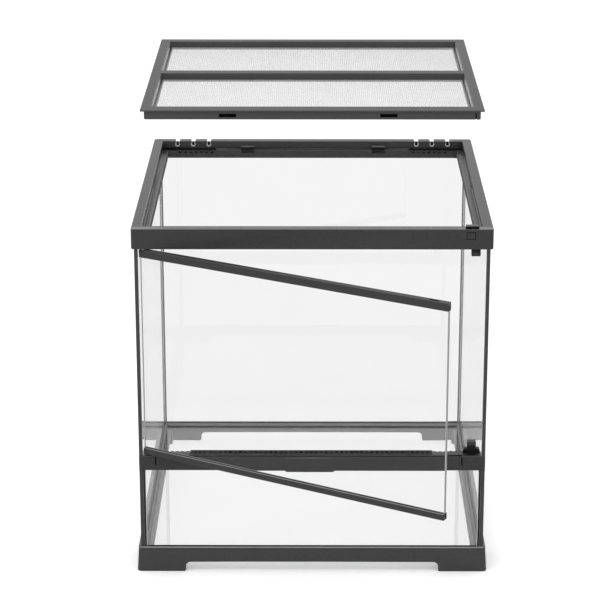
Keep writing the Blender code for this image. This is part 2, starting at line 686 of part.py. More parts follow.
def make_gate(side, word, slide):
    """A plate that closes the inlets, with a web over the ledge and a handle on the lip.

    The handle is shorter than the plate, so that it clears the side lip at full travel.
    """
    handle_y = (MOUTH_Y[1] - GAP - GATE_THICKNESS - GATE_Y, MOUTH_Y[1] - GAP - GATE_Y)
    web_z = (GATE_WEB_BOTTOM - LEDGE_Z, GATE_WEB_TOP - LEDGE_Z)
    handle_z = (web_z[1] - GATE_HANDLE_HEIGHT, web_z[1])
    profile = hook_profile(GATE_THICKNESS, 0, web_z[1] + GATE_HEIGHT, web_z, handle_y[::-1], handle_z[0])
    gate = side_profile_solid(f"wire_gate_{word}", profile, gate_span(side), slide, PLASTIC)
    spare = (HANDLE_X[1], gate_span(1)[1] + PAST)
    spare_y = (handle_y[0] - PAST, handle_y[1] + 2 * GAP)
    cut(gate, "past_handle", (spare if side > 0 else mirrored(spare), spare_y, (handle_z[0] - PAST, PAST)))
    grips = []
    first = side * middle(HANDLE_X) - (GATE_GRIP_COUNT - 1) * GATE_GRIP_PITCH / 2
    grip_y = (handle_y[0] - GATE_GRIP_DEPTH, middle(handle_y))
    grip_low = middle(handle_z) - GATE_GRIP_HEIGHT / 2
    for count in range(GATE_GRIP_COUNT):
        grip_x = first + count * GATE_GRIP_PITCH
        span = (grip_x - GATE_GRIP_WIDTH / 2, grip_x + GATE_GRIP_WIDTH / 2)
        grips.append((span, grip_y, (grip_low, grip_low + GATE_GRIP_HEIGHT)))
    join(gate, "grips", *grips)
    opening_y = (-PAST, GATE_THICKNESS + PAST)
    opening_z = (LEDGE_DROP - INLET_DROP - INLET_RADIUS, LEDGE_DROP)
    openings = []
    for place in inlet_places():
        gate_x = side * (place - GATE_TRAVEL)
        openings.append(((gate_x - INLET_RADIUS, gate_x + INLET_RADIUS), opening_y, opening_z))
    cut(gate, "openings", *openings)


def make_clips(tank):
    """Clips over the ledge, at the rear and the front, that line the lid up."""
    for word, x in zip(("left", "right"), CLIP_REAR_X):
        make_clip(f"lid_clip_rear_{word}", x, RIM_Y[1] - GAP, MOUTH_Y[1] - GAP, tank)
    for word, x in zip(("left", "right"), CLIP_FRONT_X):
        make_clip(f"lid_clip_front_{word}", x, RIM_Y[0] + GAP, MOUTH_Y[0] + GAP, tank)


def make_clip(name, x, wall_y, lip_y, tank):
    """A web in the ledge's seat, a lug against the rim's wall and a tongue down the lip."""
    inward = math.copysign(1, lip_y - wall_y)
    span = (x - CLIP_WIDTH / 2, x + CLIP_WIDTH / 2)
    lug_y = wall_y + inward * (LID_PLAY + LID_OVERHANG - 2 * GAP)
    tongue_y = (lip_y, lip_y + inward * CLIP_THICKNESS)
    web_z = (LEDGE_Z - GAP - CLIP_THICKNESS, LEDGE_Z - GAP)
    profile = hook_profile(wall_y, lug_y, LEDGE_Z + CLIP_RISE, web_z, tongue_y, LEDGE_Z - CLIP_DROP)
    side_profile_solid(name, profile, span, tank, BLACK)


def make_vent_bar(tank):
    front = -GAP - BAR_WALL
    deck_z = (BAR_TOP - DECK_THICKNESS, BAR_TOP)
    low = BAR_BOTTOM - PAST
    past = DECK_DEPTH + PAST
    bar = box("vent_bar", (-HALF, HALF), (front, DECK_DEPTH), (BAR_BOTTOM, BAR_TOP), tank, PLASTIC)
    end = (INNER - GAP, HALF + PAST)
    end_z = (low, BAR_TOP + PAST)
    cut(bar, "ends", (end, (-GAP, past), end_z), (mirrored(end), (-GAP, past), end_z))
    across = (-HALF - PAST, HALF + PAST)
    cut(bar, "pane_groove", (across, (-GAP, GLASS + GAP), (low, deck_z[0])))
    cut(bar, "underside", (across, (grille_front(), past), (low, deck_z[0])))
    cut(bar, "rear_edge", (across, (GLASS, grille_front() + PAST), (low, BAR_TOP - BAR_REAR_HEIGHT)))
    boss = (BAR_BOSS_X - BAR_BOSS_WIDTH / 2, BAR_BOSS_X + BAR_BOSS_WIDTH / 2)
    boss_z = (BAR_BOTTOM - BAR_BOSS_BELOW, BAR_TOP - BAR_BOSS_BELOW)
    join(bar, "boss", (boss, (front - BAR_BOSS_PROUD, -2 * GAP), boss_z))
    slit_z = (BAR_TOP - BAR_SLIT_DROP - BAR_SLIT_HEIGHT, BAR_TOP - BAR_SLIT_DROP)
    right_slit = HALF - BAR_SLIT_INSET_RIGHT
    slits = []
    for x in (BAR_SLIT_INSET_LEFT - HALF, right_slit):
        slits.append(((x - BAR_SLIT_WIDTH / 2, x + BAR_SLIT_WIDTH / 2), (front - PAST, -GAP), slit_z))
    cut(bar, "slits", *slits)
    groove_x = (BAR_GROOVE_START - DOOR_HALF, right_slit)
    cut(bar, "groove", (groove_x, (0, BAR_GROOVE_WIDTH), (BAR_TOP - BAR_GROOVE_DEPTH, BAR_TOP + PAST)))
    cut_grille_opening(bar)
    pin_hole = Vector((PIVOT.x, PIVOT.y, BAR_TOP))
    bore(bar, "pin_hole", PIN_RADIUS + RUN, 2 * (DECK_THICKNESS + PAST), "Z", pin_hole)


def grille_front():
    return GLASS + GAP + BAR_REAR_WALL


def cut_grille_opening(bar):
    """A long opening in the deck for the grille, and a few comb notches past its ends."""
    z = (BAR_TOP - DECK_THICKNESS - PAST, BAR_TOP + PAST)
    cut(bar, "grille_opening", ((-GRILLE_HALF, GRILLE_HALF), (grille_front(), DECK_DEPTH + PAST), z))
    notches = []
    for count in range(COMB_COUNT):
        middle_x = GRILLE_HALF + (count + 1) * GRILLE_PITCH
        for side in (-1, 1):
            span = (side * middle_x - COMB_NOTCH / 2, side * middle_x + COMB_NOTCH / 2)
            notches.append((span, (DECK_DEPTH - COMB_DEPTH, DECK_DEPTH + PAST), z))
    cut(bar, "comb", *notches)


def make_vent_grille(tank):
    half = GRILLE_HALF - GAP
    top = BAR_TOP - GRILLE_SINK
    z = (top - GRILLE_THICKNESS, top)
    y = (grille_front() + GAP, DECK_DEPTH + GRILLE_OVERHANG)
    grille = box("vent_grille", (-half, half), y, z, tank, BLACK)
    count = int((2 * half - 2 * GRILLE_BORDER) / GRILLE_PITCH)
    slots = []
    for index in range(count):
        x = (index - (count - 1) / 2) * GRILLE_PITCH
        slot = (x - GRILLE_SLOT / 2, x + GRILLE_SLOT / 2)
        slots.append((slot, widened(y, -GRILLE_BORDER), widened(z, PAST)))
    cut(grille, "slots", *slots)


def make_door(tank):
    """The door about its hinge axis. Its own X runs from the hinge to the free end."""
    hinge = new_empty("door_hinge", PIVOT, tank, -DOOR_SWING)
    x = (-PIVOT_INSET, DOOR_END)
    y = (-PIVOT_INSET, DOOR_RAIL_DEPTH - PIVOT_INSET)
    channel_y = (-GLASS / 2 - GAP, GLASS / 2 + GAP)
    along = widened(x, PAST)
    top_z = (DOOR_TOP - DOOR_TOP_RAIL_HEIGHT, DOOR_TOP)
    top = box("door_top_rail", x, y, top_z, hinge, PLASTIC)
    cut(top, "channel", (along, channel_y, (top_z[0] - PAST, DOOR_TOP - DOOR_TOP_WEB)))
    slot_end = DOOR_END - LOCK_SLOT_FROM_END
    slot_z = (DOOR_TOP - DOOR_TOP_WEB - PAST, DOOR_TOP + PAST)
    cut(top, "lock_slot", ((slot_end - LOCK_SLOT_LENGTH, slot_end), about_zero(LOCK_SLOT_WIDTH), slot_z))
    bottom_z = (DOOR_BOTTOM, DOOR_BOTTOM + DOOR_BOTTOM_RAIL_HEIGHT)
    bottom = box("door_bottom_rail", x, y, bottom_z, hinge, PLASTIC)
    cut(bottom, "channel", (along, channel_y, (DOOR_BOTTOM + DOOR_BOTTOM_WEB, bottom_z[1] + PAST)))
    hole = PIN_RADIUS + RUN
    bore(top, "pin_hole", hole, 2 * (DOOR_TOP_WEB + PAST), "Z", Vector((0, 0, DOOR_TOP)))
    bore(bottom, "pin_hole", hole, 2 * (DOOR_BOTTOM_WEB + PAST), "Z", Vector((0, 0, DOOR_BOTTOM)))
    glass_z = (DOOR_BOTTOM + DOOR_BOTTOM_WEB + GAP, DOOR_TOP - DOOR_TOP_WEB - GAP)
    box("door_glass", widened(x, -GAP), (-GLASS / 2, GLASS / 2), glass_z, hinge, GLASS_LOOK)


def make_pins(tank):
    """Each pin sits in the frame and carries a bearing collar next to the door's rail."""
    lower = (BAR_TOP - DECK_THICKNESS, DOOR_BOTTOM + DOOR_BOTTOM_WEB - GAP)
    lower_collar = (BAR_TOP + GAP, DOOR_BOTTOM - GAP)
    turned_pin("hinge_pin_lower", lower, lower_collar, tank)
    upper = (DOOR_TOP - DOOR_TOP_WEB + GAP, LIP_BOTTOM + PIN_SEAT)
    upper_collar = (DOOR_TOP + GAP, LIP_BOTTOM - GAP)
    turned_pin("hinge_pin_upper", upper, upper_collar, tank)


def turned_pin(name, ends, collar, tank):
    """A turned pin with one collar, from a profile about the hinge axis."""
    profile = [
        (0, ends[1]),
        (PIN_RADIUS, ends[1]),
        (PIN_RADIUS, collar[1]),
        (PIN_COLLAR_RADIUS, collar[1]),
        (PIN_COLLAR_RADIUS, collar[0]),
        (PIN_RADIUS, collar[0]),
        (PIN_RADIUS, ends[0]),
        (0, ends[0]),
    ]
    bm = bmesh.new()
    verts = [bm.verts.new((radius, 0, z)) for radius, z in profile]
    for start, end in zip(verts, verts[1:]):
        bm.edges.new((start, end))
    pin = place_mesh(name, bm, PIVOT, tank, STEEL)
    screw = pin.modifiers.new("turn", "SCREW")
    screw.steps = PIN_SEGMENTS
    screw.render_steps = PIN_SEGMENTS
    screw.use_merge_vertices = True
    screw.merge_threshold = WELD


def make_lock(tank):
    """The raised tab, and the bolt that drops through the rim into the closed door's slot."""
    slide = new_empty("lock_slide", (middle(lock_bolt_x()), PIVOT.y, FRAME_TOP), tank)
    home = slide.location
    tab_bottom = FRAME_TOP - LOCK_POCKET_DEPTH + GAP + LOCK_LIFT
    x = [value - home.x for value in lock_tab_x()]
    y = [value - home.y for value in lock_tab_y()]
    tab_z = (tab_bottom - home.z, tab_bottom + LOCK_TAB_THICKNESS - home.z)
    lock = box("door_lock", x, y, tab_z, slide, BLACK)
    bolt_x = [value - home.x for value in lock_bolt_x()]
    bolt_y = [value - home.y for value in lock_bolt_y()]
    bolt_z = (DOOR_TOP + LOCK_BOLT_CLEAR - home.z, middle(tab_z))
    join(lock, "bolt", (bolt_x, bolt_y, bolt_z))


def make_stops(tank):
    """Black stops behind the door's free end, on the deck and under the top frame."""
    front = DOOR_RAIL_DEPTH + GAP
    lower = new_empty("stop_seat_lower", (STOP_X, front, BAR_TOP + GAP), tank)
    make_stop("door_stop_lower", lower)
    upper = new_empty("stop_seat_upper", (STOP_X, front, LIP_BOTTOM - GAP), tank)
    upper.rotation_euler = (0, math.pi, 0)
    make_stop("door_stop_upper", upper)


def make_stop(name, seat):
    """A stop about the middle of its seat, with Y to the rear and Z away from what carries it."""
    stop = stop_block(name, seat)
    tongue_y = (-STOP_TONGUE_LENGTH, PAST)
    tongue_z = (STOP_TONGUE_LIFT, STOP_TONGUE_LIFT + STOP_TONGUE_THICKNESS)
    join(stop, "tongue", (about_zero(STOP_TONGUE_WIDTH), tongue_y, tongue_z))
    shoulder = (STOP_WING_WIDTH + STOP_WIDTH) / 4
    scoop_z = (STOP_SCOOP / 2, STOP_WING_HEIGHT - STOP_SCOOP / 2)
    scoop_y = (-PAST, STOP_SCOOP / 2)
    right = (shoulder - STOP_SCOOP / 2, shoulder + STOP_SCOOP / 2)
    cut(stop, "scoops", (right, scoop_y, scoop_z), (mirrored(right), scoop_y, scoop_z))
    screw_z = STOP_HEIGHT - STOP_SCREW_DROP
    places = [Vector((side * STOP_SCREW_PITCH / 2, 0, screw_z)) for side in (-1, 1)]
    bore(stop, "screw_holes", STOP_SCREW_RADIUS + RUN, 2 * STOP_SCREW_DEPTH, "Y", *places)
    for word, place in zip(("left", "right"), places):
        length = STOP_SCREW_DEPTH - 2 * GAP
        centre = place + Vector((0, GAP + length / 2, 0))
        bm = rod_mesh(STOP_SCREW_RADIUS, length, "Y", [Vector()], STOP_SCREW_SEGMENTS)
        place_mesh(f"{name}_screw_{word}", bm, centre, seat, STEEL)


def stop_block(name, seat):
    """An upright block between two wings with sloped shoulders, drawn out along Y."""
    half = STOP_WIDTH / 2
    wing = STOP_WING_WIDTH / 2
    outline = [
        (-wing, 0),
        (wing, 0),
        (wing, STOP_WING_HEIGHT - STOP_SHOULDER),
        (wing - STOP_SHOULDER, STOP_WING_HEIGHT),
        (half, STOP_WING_HEIGHT),
        (half, STOP_HEIGHT - STOP_SHOULDER / 2),
        (half - STOP_SHOULDER / 2, STOP_HEIGHT),
        (-half + STOP_SHOULDER / 2, STOP_HEIGHT),
        (-half, STOP_HEIGHT - STOP_SHOULDER / 2),
        (-half, STOP_WING_HEIGHT),
        (-wing + STOP_SHOULDER, STOP_WING_HEIGHT),
        (-wing, STOP_WING_HEIGHT - STOP_SHOULDER),
    ]
    block = place_mesh(name, outline_mesh(outline, STOP_DEPTH), (0, STOP_DEPTH / 2, 0), seat, BLACK)
    block.rotation_euler = (math.pi / 2, 0, 0)
    return block


def about_zero(width):
    return (-width / 2, width / 2)


def lid_windows():
    """The front and the rear window, as Y spans."""
    bar_front = LID_Y[0] + LID_CROSSBAR_FROM_FRONT
    front = (LID_Y[0] + LID_BAR_FRONT, bar_front)
    rear = (bar_front + LID_CROSSBAR, LID_Y[1] - LID_BAR_REAR)
    return front, rear


def make_lid(tank):
    lift = new_empty("lid_lift", (0, 0, LID_SEAT_TOP + LID_LIFT), tank)
    lid = make_lid_frame(lift)
    cut_lid_windows(lid)
    cut_lid_skirt(lid)
    for word, window in zip(("front", "rear"), lid_windows()):
        make_mesh_panel(word, window, lift)


def make_lid_frame(lift):
    """A plate with a skirt under it. Z counts down from the top face."""
    x = (-LID_X, LID_X)
    lid = box("lid_frame", x, LID_Y, (-LID_PLATE, 0), lift, PLASTIC, LID_CORNER / 2)
    skirt_x, skirt_y = inner_ring(x, LID_Y, LID_OVERHANG)
    skirt_z = (-LID_HEIGHT, -LID_PLATE / 2)
    bm = box_mesh([(skirt_x, skirt_y, skirt_z)], Vector())
    round_edges(bm, edges_along(bm, 2), LID_CORNER)
    boolean(lid, place_mesh("lid_frame_skirt", bm, (0, 0, 0), lift), "UNION")
    hollow_x, hollow_y = inner_ring(skirt_x, skirt_y, LID_WALL)
    cut(lid, "hollow", (hollow_x, hollow_y, (-LID_HEIGHT - PAST, -LID_PLATE)))
    well_x = about_zero(2 * (window_half() + LID_WALL))
    well_z = (lip_bottom(), -LID_PLATE / 2)
    join(lid, "wells", *[(well_x, widened(window, LID_WALL), well_z) for window in lid_windows()])
    return lid


def window_half():
    return LID_X - LID_BAR_SIDE


def lip_bottom():
    return -MESH_DROP - MESH_THICKNESS - GAP - MESH_LIP_THICKNESS


def cut_lid_windows(lid):
    """Open wells down to the mesh, with a lip under its edge."""
    well_x = about_zero(2 * window_half())
    lip_top = lip_bottom() + MESH_LIP_THICKNESS
    hole_x = widened(well_x, -MESH_LIP)
    hole_z = (-LID_HEIGHT - PAST, lip_top + PAST)
    windows = lid_windows()
    cut(lid, "window_wells", *[(well_x, window, (lip_top, PAST)) for window in windows])
    cut(lid, "window_holes", *[(hole_x, widened(window, -MESH_LIP), hole_z) for window in windows])


def cut_lid_skirt(lid):
    """Slots for the clips in the front and rear skirt, and a small notch at the right."""
    front = LID_Y[0] + LID_OVERHANG
    front_y = (front - PAST, front + LID_WALL + PAST)
    rear = LID_Y[1] - LID_OVERHANG
    rear_y = (rear - LID_WALL - PAST, rear + PAST)
    z = (-SLOT_DROP - SLOT_HEIGHT, -SLOT_DROP)
    slots = []
    for places, y in ((CLIP_FRONT_X, front_y), (CLIP_REAR_X, rear_y)):
        for x in places:
            slots.append(((x - SLOT_WIDTH / 2, x + SLOT_WIDTH / 2), y, z))
    notch_x = LID_X - LID_NOTCH_INSET
    notch = (notch_x - LID_NOTCH_WIDTH / 2, notch_x + LID_NOTCH_WIDTH / 2)
    slots.append((notch, front_y, (-LID_HEIGHT - PAST, LID_NOTCH_HEIGHT - LID_HEIGHT)))
    cut(lid, "slots", *slots)


def make_mesh_panel(word, window, lift):
    """A thin plate with a plain grid of openings, in place of the fine mesh."""
    x = about_zero(2 * (window_half() - GAP))
    y = widened(window, -GAP)
    z = (-MESH_DROP - MESH_THICKNESS, -MESH_DROP)
    panel = box(f"lid_mesh_{word}", x, y, z, lift, MESH_LOOK)
    cells = []
    for column in range(MESH_COLUMNS):
        cell_x = cell_span(widened(x, -MESH_LIP), MESH_COLUMNS, column)
        for row in range(MESH_ROWS):
            cells.append((cell_x, cell_span(widened(y, -MESH_LIP), MESH_ROWS, row), widened(z, PAST)))
    cut(panel, "openings", *cells)


def cell_span(field, count, index):
    """One of count openings that share a field evenly, with bars between them."""
    pitch = (field[1] - field[0] + MESH_BAR) / count
    low = field[0] + index * pitch
    return (low, low + pitch - MESH_BAR)


clear_scene()
PARTS = new_collection("terrarium")
CUTTERS = new_collection("terrarium_cutters")
PLASTIC = new_material("dark_grey_plastic", (0.055, 0.055, 0.058), 0.5)
BLACK = new_material("black_plastic", (0.012, 0.012, 0.013), 0.35)
TRIM = new_material("dark_edge_trim", (0.06, 0.06, 0.062), 0.5)
GLASS_LOOK = new_material("clear_glass", (0.96, 0.97, 0.965), 0.02, 0.0, 1.0)
SILICONE = new_material("black_silicone", (0.05, 0.05, 0.052), 0.4)
GROMMET = new_material("light_grommet", (0.55, 0.55, 0.55), 0.45)
STEEL = new_material("pin_steel", (0.45, 0.45, 0.46), 0.35, 1.0)
MESH_LOOK = new_material("steel_mesh", (0.7, 0.7, 0.7), 0.4, 0.6)
CUTTERS.hide_render = True

TANK = new_empty("tank", (0, -MIDDLE_Y, 0))
make_base_frame(TANK)
make_panes(TANK)
make_seams(TANK)
make_edge_trims(TANK)
make_top_frame(TANK)
make_grommets(TANK)
make_gates(TANK)
make_clips(TANK)
make_vent_bar(TANK)
make_vent_grille(TANK)
make_pins(TANK)
make_door(TANK)
make_lock(TANK)
make_stops(TANK)
make_lid(TANK)
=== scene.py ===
# %% [markdown]
# # A glass terrarium, its door ajar and its lid lifted
# This lesson dresses a solid model of a terrarium. The solids give every size,
# and this script gives the looks: moulded plastic with soft edges, clear glass
# with ground edges, silicone beads, and a woven wire lid. The solids come in
# first.

# %% Load the solids
import math

import bmesh
import bpy
from mathutils import Matrix, Vector


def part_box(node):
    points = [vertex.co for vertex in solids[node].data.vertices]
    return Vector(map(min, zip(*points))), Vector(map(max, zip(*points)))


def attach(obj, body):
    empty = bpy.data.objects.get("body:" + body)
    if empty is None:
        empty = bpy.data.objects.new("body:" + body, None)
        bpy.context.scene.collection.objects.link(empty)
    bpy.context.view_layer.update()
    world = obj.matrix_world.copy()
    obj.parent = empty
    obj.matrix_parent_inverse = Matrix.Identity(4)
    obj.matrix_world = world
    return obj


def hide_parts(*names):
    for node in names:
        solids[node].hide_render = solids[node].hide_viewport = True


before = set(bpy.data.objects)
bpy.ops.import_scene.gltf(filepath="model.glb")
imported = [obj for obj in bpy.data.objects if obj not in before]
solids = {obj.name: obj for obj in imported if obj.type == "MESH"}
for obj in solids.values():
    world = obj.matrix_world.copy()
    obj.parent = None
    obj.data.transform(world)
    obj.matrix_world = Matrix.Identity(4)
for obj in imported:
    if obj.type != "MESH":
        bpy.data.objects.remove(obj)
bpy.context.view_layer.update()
scene = bpy.context.scene
MM = 0.001

# %% [markdown]
# ## The camera
# The photograph was taken with a long lens from a little above the rim, so the
# rear of the tank is only about a seventh smaller than its front. The camera
# stands 2.7 m in front of the tank, looks down by 18.6 degrees, and its lens
# fills the picture from the raised lid to the feet.

# %% Camera
LENS = 132.8
LOOK_DOWN = 18.59
LOOK_LEFT = 0.169
CAMERA_PLACE = (0.0028, -2.8614, 1.2866)
camera_data = bpy.data.cameras.new("studio_camera")
camera_data.lens = LENS
camera = bpy.data.objects.new("studio_camera", camera_data)
scene.collection.objects.link(camera)
camera.location = CAMERA_PLACE
camera.rotation_euler = (math.radians(90 - LOOK_DOWN), 0, math.radians(LOOK_LEFT))
scene.camera = camera
scene.view_settings.view_transform = "Standard"
print("camera:", CAMERA_PLACE, "lens:", LENS, "mm")

# %% [markdown]
# ## Light and background
# Glass has no look of its own: it shows what is round it. So the world is a
# plain white room. Rays that the camera, a gloss or a pane sends out meet a
# white of exactly 1, and the light that falls on matt surfaces is set a little
# lower, with one broad lamp to give the shapes a lit side. Cycles' Filter
# Glossy holds back light that has come through a pane, so it is switched off.


# %% World and lamp
def any_ray(tree, *kinds):
    """1 for the given kinds of ray, such as Is Camera Ray, and 0 for the rest."""
    rays = tree.nodes.new("ShaderNodeLightPath")
    found = rays.outputs[kinds[0]]
    for kind in kinds[1:]:
        either = tree.nodes.new("ShaderNodeMath")
        either.operation = "MAXIMUM"
        tree.links.new(found, either.inputs[0])
        tree.links.new(rays.outputs[kind], either.inputs[1])
        found = either.outputs[0]
    return found


def world_room(brightness):
    """A white world that lights matt surfaces with its own brightness."""
    world = bpy.data.worlds.new("white_room")
    scene.world = world
    world.use_nodes = True
    tree = world.node_tree
    strength = tree.nodes.new("ShaderNodeMapRange")
    strength.inputs["To Min"].default_value = brightness
    strength.inputs["To Max"].default_value = 1.0
    white_rays = any_ray(tree, "Is Camera Ray", "Is Glossy Ray", "Is Transmission Ray")
    tree.links.new(white_rays, strength.inputs["Value"])
    tree.links.new(strength.outputs["Result"], tree.nodes["Background"].inputs["Strength"])
    tree.nodes["Background"].inputs["Color"].default_value = (1, 1, 1, 1)


def soft_lamp(name, place, aim, size, power):
    """A square lamp that faces the point aim."""
    data = bpy.data.lights.new(name, "AREA")
    data.shape = "SQUARE"
    data.size = size
    data.energy = power
    lamp = bpy.data.objects.new(name, data)
    scene.collection.objects.link(lamp)
    lamp.location = place
    lamp.rotation_euler = (Vector(aim) - Vector(place)).to_track_quat("-Z", "Y").to_euler()


ROOM_LIGHT = 0.86
LAMP_PLACE = (-1.6, -2.2, 3.4)
LAMP_AIM = (0, 0, 0.3)
LAMP_SIZE = 4.0
LAMP_WATTS = 26
scene.cycles.blur_glossy = 0
world_room(ROOM_LIGHT)
soft_lamp("key_lamp", LAMP_PLACE, LAMP_AIM, LAMP_SIZE, LAMP_WATTS)
print("room light on matt surfaces:", ROOM_LIGHT)

# %% [markdown]
# ## The table
# The tank stands on a white sweep with only a narrow shadow under it. A white
# diffuse surface darkens where the tank keeps light from it. The camera sees
# that surface over-exposed, as in a studio, so it burns out to white beside
# the tank and the shadow under the arches stays. What the panes show of it is
# mixed with a plain white, so that the floor inside is even.


# %% Floor
def mix_in_white(tree, surface, kinds, share, white):
    """Mixes a share of plain white into the surface, for some kinds of ray alone."""
    glow = tree.nodes.new("ShaderNodeEmission")
    glow.inputs["Strength"].default_value = white
    scaled = tree.nodes.new("ShaderNodeMath")
    scaled.operation = "MULTIPLY"
    scaled.inputs[1].default_value = share
    tree.links.new(any_ray(tree, *kinds), scaled.inputs[0])
    mix = tree.nodes.new("ShaderNodeMixShader")
    tree.links.new(scaled.outputs[0], mix.inputs[0])
    tree.links.new(surface, mix.inputs[1])
    tree.links.new(glow.outputs[0], mix.inputs[2])
    return mix.outputs[0]


def white_floor(radius, white, seen_white, pane_share, pane_white):
    """A white disc. seen_white is its colour for the camera alone."""
    bm = bmesh.new()
    bmesh.ops.create_circle(bm, cap_ends=True, segments=96, radius=radius)
    mesh = bpy.data.meshes.new("floor")
    bm.to_mesh(mesh)
    bm.free()
    floor = bpy.data.objects.new("floor", mesh)
    scene.collection.objects.link(floor)
    material = bpy.data.materials.new("white_sweep")
    material.use_nodes = True
    tree = material.node_tree
    tree.nodes.clear()
    matt = tree.nodes.new("ShaderNodeBsdfDiffuse")
    colour = tree.nodes.new("ShaderNodeMapRange")
    colour.inputs["To Min"].default_value = white
    colour.inputs["To Max"].default_value = seen_white
    tree.links.new(any_ray(tree, "Is Camera Ray"), colour.inputs["Value"])
    tree.links.new(colour.outputs["Result"], matt.inputs["Color"])
    surface = mix_in_white(tree, matt.outputs[0], ("Is Transmission Ray",), pane_share, pane_white)
    out = tree.nodes.new("ShaderNodeOutputMaterial")
    tree.links.new(surface, out.inputs["Surface"])
    mesh.materials.append(material)
    print("floor:", radius, "m round the tank, its white:", white, "and for the camera:", seen_white)


FLOOR_RADIUS = 9
FLOOR_WHITE = 0.93
FLOOR_SEEN_WHITE = 1.35
FLOOR_PANE_SHARE = 0.8
FLOOR_PANE_WHITE = 1.0
white_floor(FLOOR_RADIUS, FLOOR_WHITE, FLOOR_SEEN_WHITE, FLOOR_PANE_SHARE, FLOOR_PANE_WHITE)

# %% [markdown]
# ## Building materials
# Each finish is a Principled shader with a small tree of noise in front of it.
# Noise reads Object coordinates, which are metres here, so a Scale of 1000
# makes marks about a millimetre wide. A few helpers keep the trees short: they
# start a material, add a noise with its own range, blend two colours and add a
# bump. Noise hardly leaves the middle of its range, so that part is spread.

# %% Material helpers
NOISE_LOW = 0.3
NOISE_HIGH = 0.7


def start_material(name):
    """A new material with its tree, its shader and the place of each point."""
    material = bpy.data.materials.new(name)
    material.use_nodes = True
    tree = material.node_tree
    place = tree.nodes.new("ShaderNodeTexCoord")
    return material, tree, tree.nodes["Principled BSDF"], place.outputs["Object"]


def noise(tree, place, scale, detail, low, high, stretch=(1, 1, 1)):
    """Noise with values spread from low to high. A stretch under 1 draws it out along that axis."""
    turn = tree.nodes.new("ShaderNodeMapping")
    turn.inputs["Scale"].default_value = stretch
    texture = tree.nodes.new("ShaderNodeTexNoise")
    texture.inputs["Scale"].default_value = scale
    texture.inputs["Detail"].default_value = detail
    spread = tree.nodes.new("ShaderNodeMapRange")
    spread.inputs["From Min"].default_value = NOISE_LOW
    spread.inputs["From Max"].default_value = NOISE_HIGH
    spread.inputs["To Min"].default_value = low
    spread.inputs["To Max"].default_value = high
    tree.links.new(place, turn.inputs["Vector"])
    tree.links.new(turn.outputs["Vector"], texture.inputs["Vector"])
    tree.links.new(texture.outputs["Fac"], spread.inputs["Value"])
    return spread.outputs["Result"]


def blend_colours(tree, amount, first, second):
    """A colour between first and second, which are colours or sockets."""
    mix = tree.nodes.new("ShaderNodeMix")
    mix.data_type = "RGBA"
    tree.links.new(amount, mix.inputs["Factor"])
    for socket, colour in ((mix.inputs[6], first), (mix.inputs[7], second)):
        if isinstance(colour, tuple):
            socket.default_value = (*colour, 1)
        else:
            tree.links.new(colour, socket)
    return mix.outputs[2]


def add_bump(tree, shader, height, strength, distance):
    bump = tree.nodes.new("ShaderNodeBump")
    bump.inputs["Strength"].default_value = strength
    bump.inputs["Distance"].default_value = distance
    tree.links.new(height, bump.inputs["Height"])
    tree.links.new(bump.outputs["Normal"], shader.inputs["Normal"])


# %% [markdown]
# ## Dark moulded plastic
# The frames are injection moulded in a dark grey with a fine spark-eroded
# grain. Face on they are nearly black, but seen at a low angle a smooth
# surface mirrors the room, so their top faces turn mid grey. Highlights are
# painted with lighter and smoother copies of the plastic: on the bevels that
# face up, where they show as fine light lines, and on a few lips and tops. The
# bar, the base and the lid each differ a little in tone from the top frame.

# %% Plastics
GRAIN_HEIGHT = 0.03 * MM


def shaded(colour, factor):
    return tuple(value * factor for value in colour)


def moulded_plastic(name, colour, gloss, grain, shine=0.5):
    material, tree, shader, place = start_material(name)
    base = blend_colours(tree, noise(tree, place, 6, 2, 0, 1), colour, shaded(colour, 1.06))
    dust = noise(tree, place, 900, 3, -0.6, 0.3)
    tree.links.new(blend_colours(tree, dust, base, shaded(colour, 1.3)), shader.inputs["Base Color"])
    tree.links.new(noise(tree, place, 1400, 3, gloss - 0.03, gloss + 0.03), shader.inputs["Roughness"])
    shader.inputs["Specular IOR Level"].default_value = shine
    add_bump(tree, shader, noise(tree, place, 3200, 2, 0, 1), grain, GRAIN_HEIGHT)
    print("plastic:", name, "colour:", colour, "roughness:", gloss)
    return material


frame_plastic = moulded_plastic("dark_grey_plastic", (0.041, 0.041, 0.042), 0.28, 0.08, 0.2)
bar_plastic = moulded_plastic("bar_grey_plastic", (0.037, 0.037, 0.038), 0.28, 0.08, 0.2)
base_plastic = moulded_plastic("base_grey_plastic", (0.051, 0.051, 0.052), 0.28, 0.08, 0.2)
lid_plastic = moulded_plastic("lid_grey_plastic", (0.075, 0.075, 0.077), 0.3, 0.08, 0.04)
# Painted highlight: a lighter, smoother copy of the plastic for edges and tops that face up.
highlight_edge_plastic = moulded_plastic("painted_highlight_grey", (0.1, 0.1, 0.102), 0.2, 0.05)
# Painted highlight: a brighter copy for the lips of the base and the door's lower rail.
lip_highlight_plastic = moulded_plastic("painted_highlight_lip", (0.26, 0.26, 0.26), 0.2, 0.05)
# Painted light: a lighter matt grey for the side walls of the top frame's mouth.
lit_wall_plastic = moulded_plastic("painted_light_wall", (0.13, 0.13, 0.131), 0.5, 0.08, 0.0)
deck_plastic = moulded_plastic("shaded_grey_plastic", (0.045, 0.045, 0.046), 0.5, 0.08, 0.0)
black_plastic = moulded_plastic("black_plastic", (0.007, 0.007, 0.007), 0.3, 0.08, 0.15)
# Painted highlight for black parts: a lighter copy of the black plastic.
highlight_black_plastic = moulded_plastic("painted_highlight_black", (0.04, 0.04, 0.04), 0.25, 0.08, 0.3)
# Matt black for black parts, and painted shade in grooves and in the strip before the low pane.
matt_black_and_shade = moulded_plastic("matt_black_and_painted_shade", (0.008, 0.008, 0.008), 0.6, 0.15, 0.0)
trim_plastic = moulded_plastic("edge_strip", (0.03, 0.03, 0.031), 0.4, 0.08)

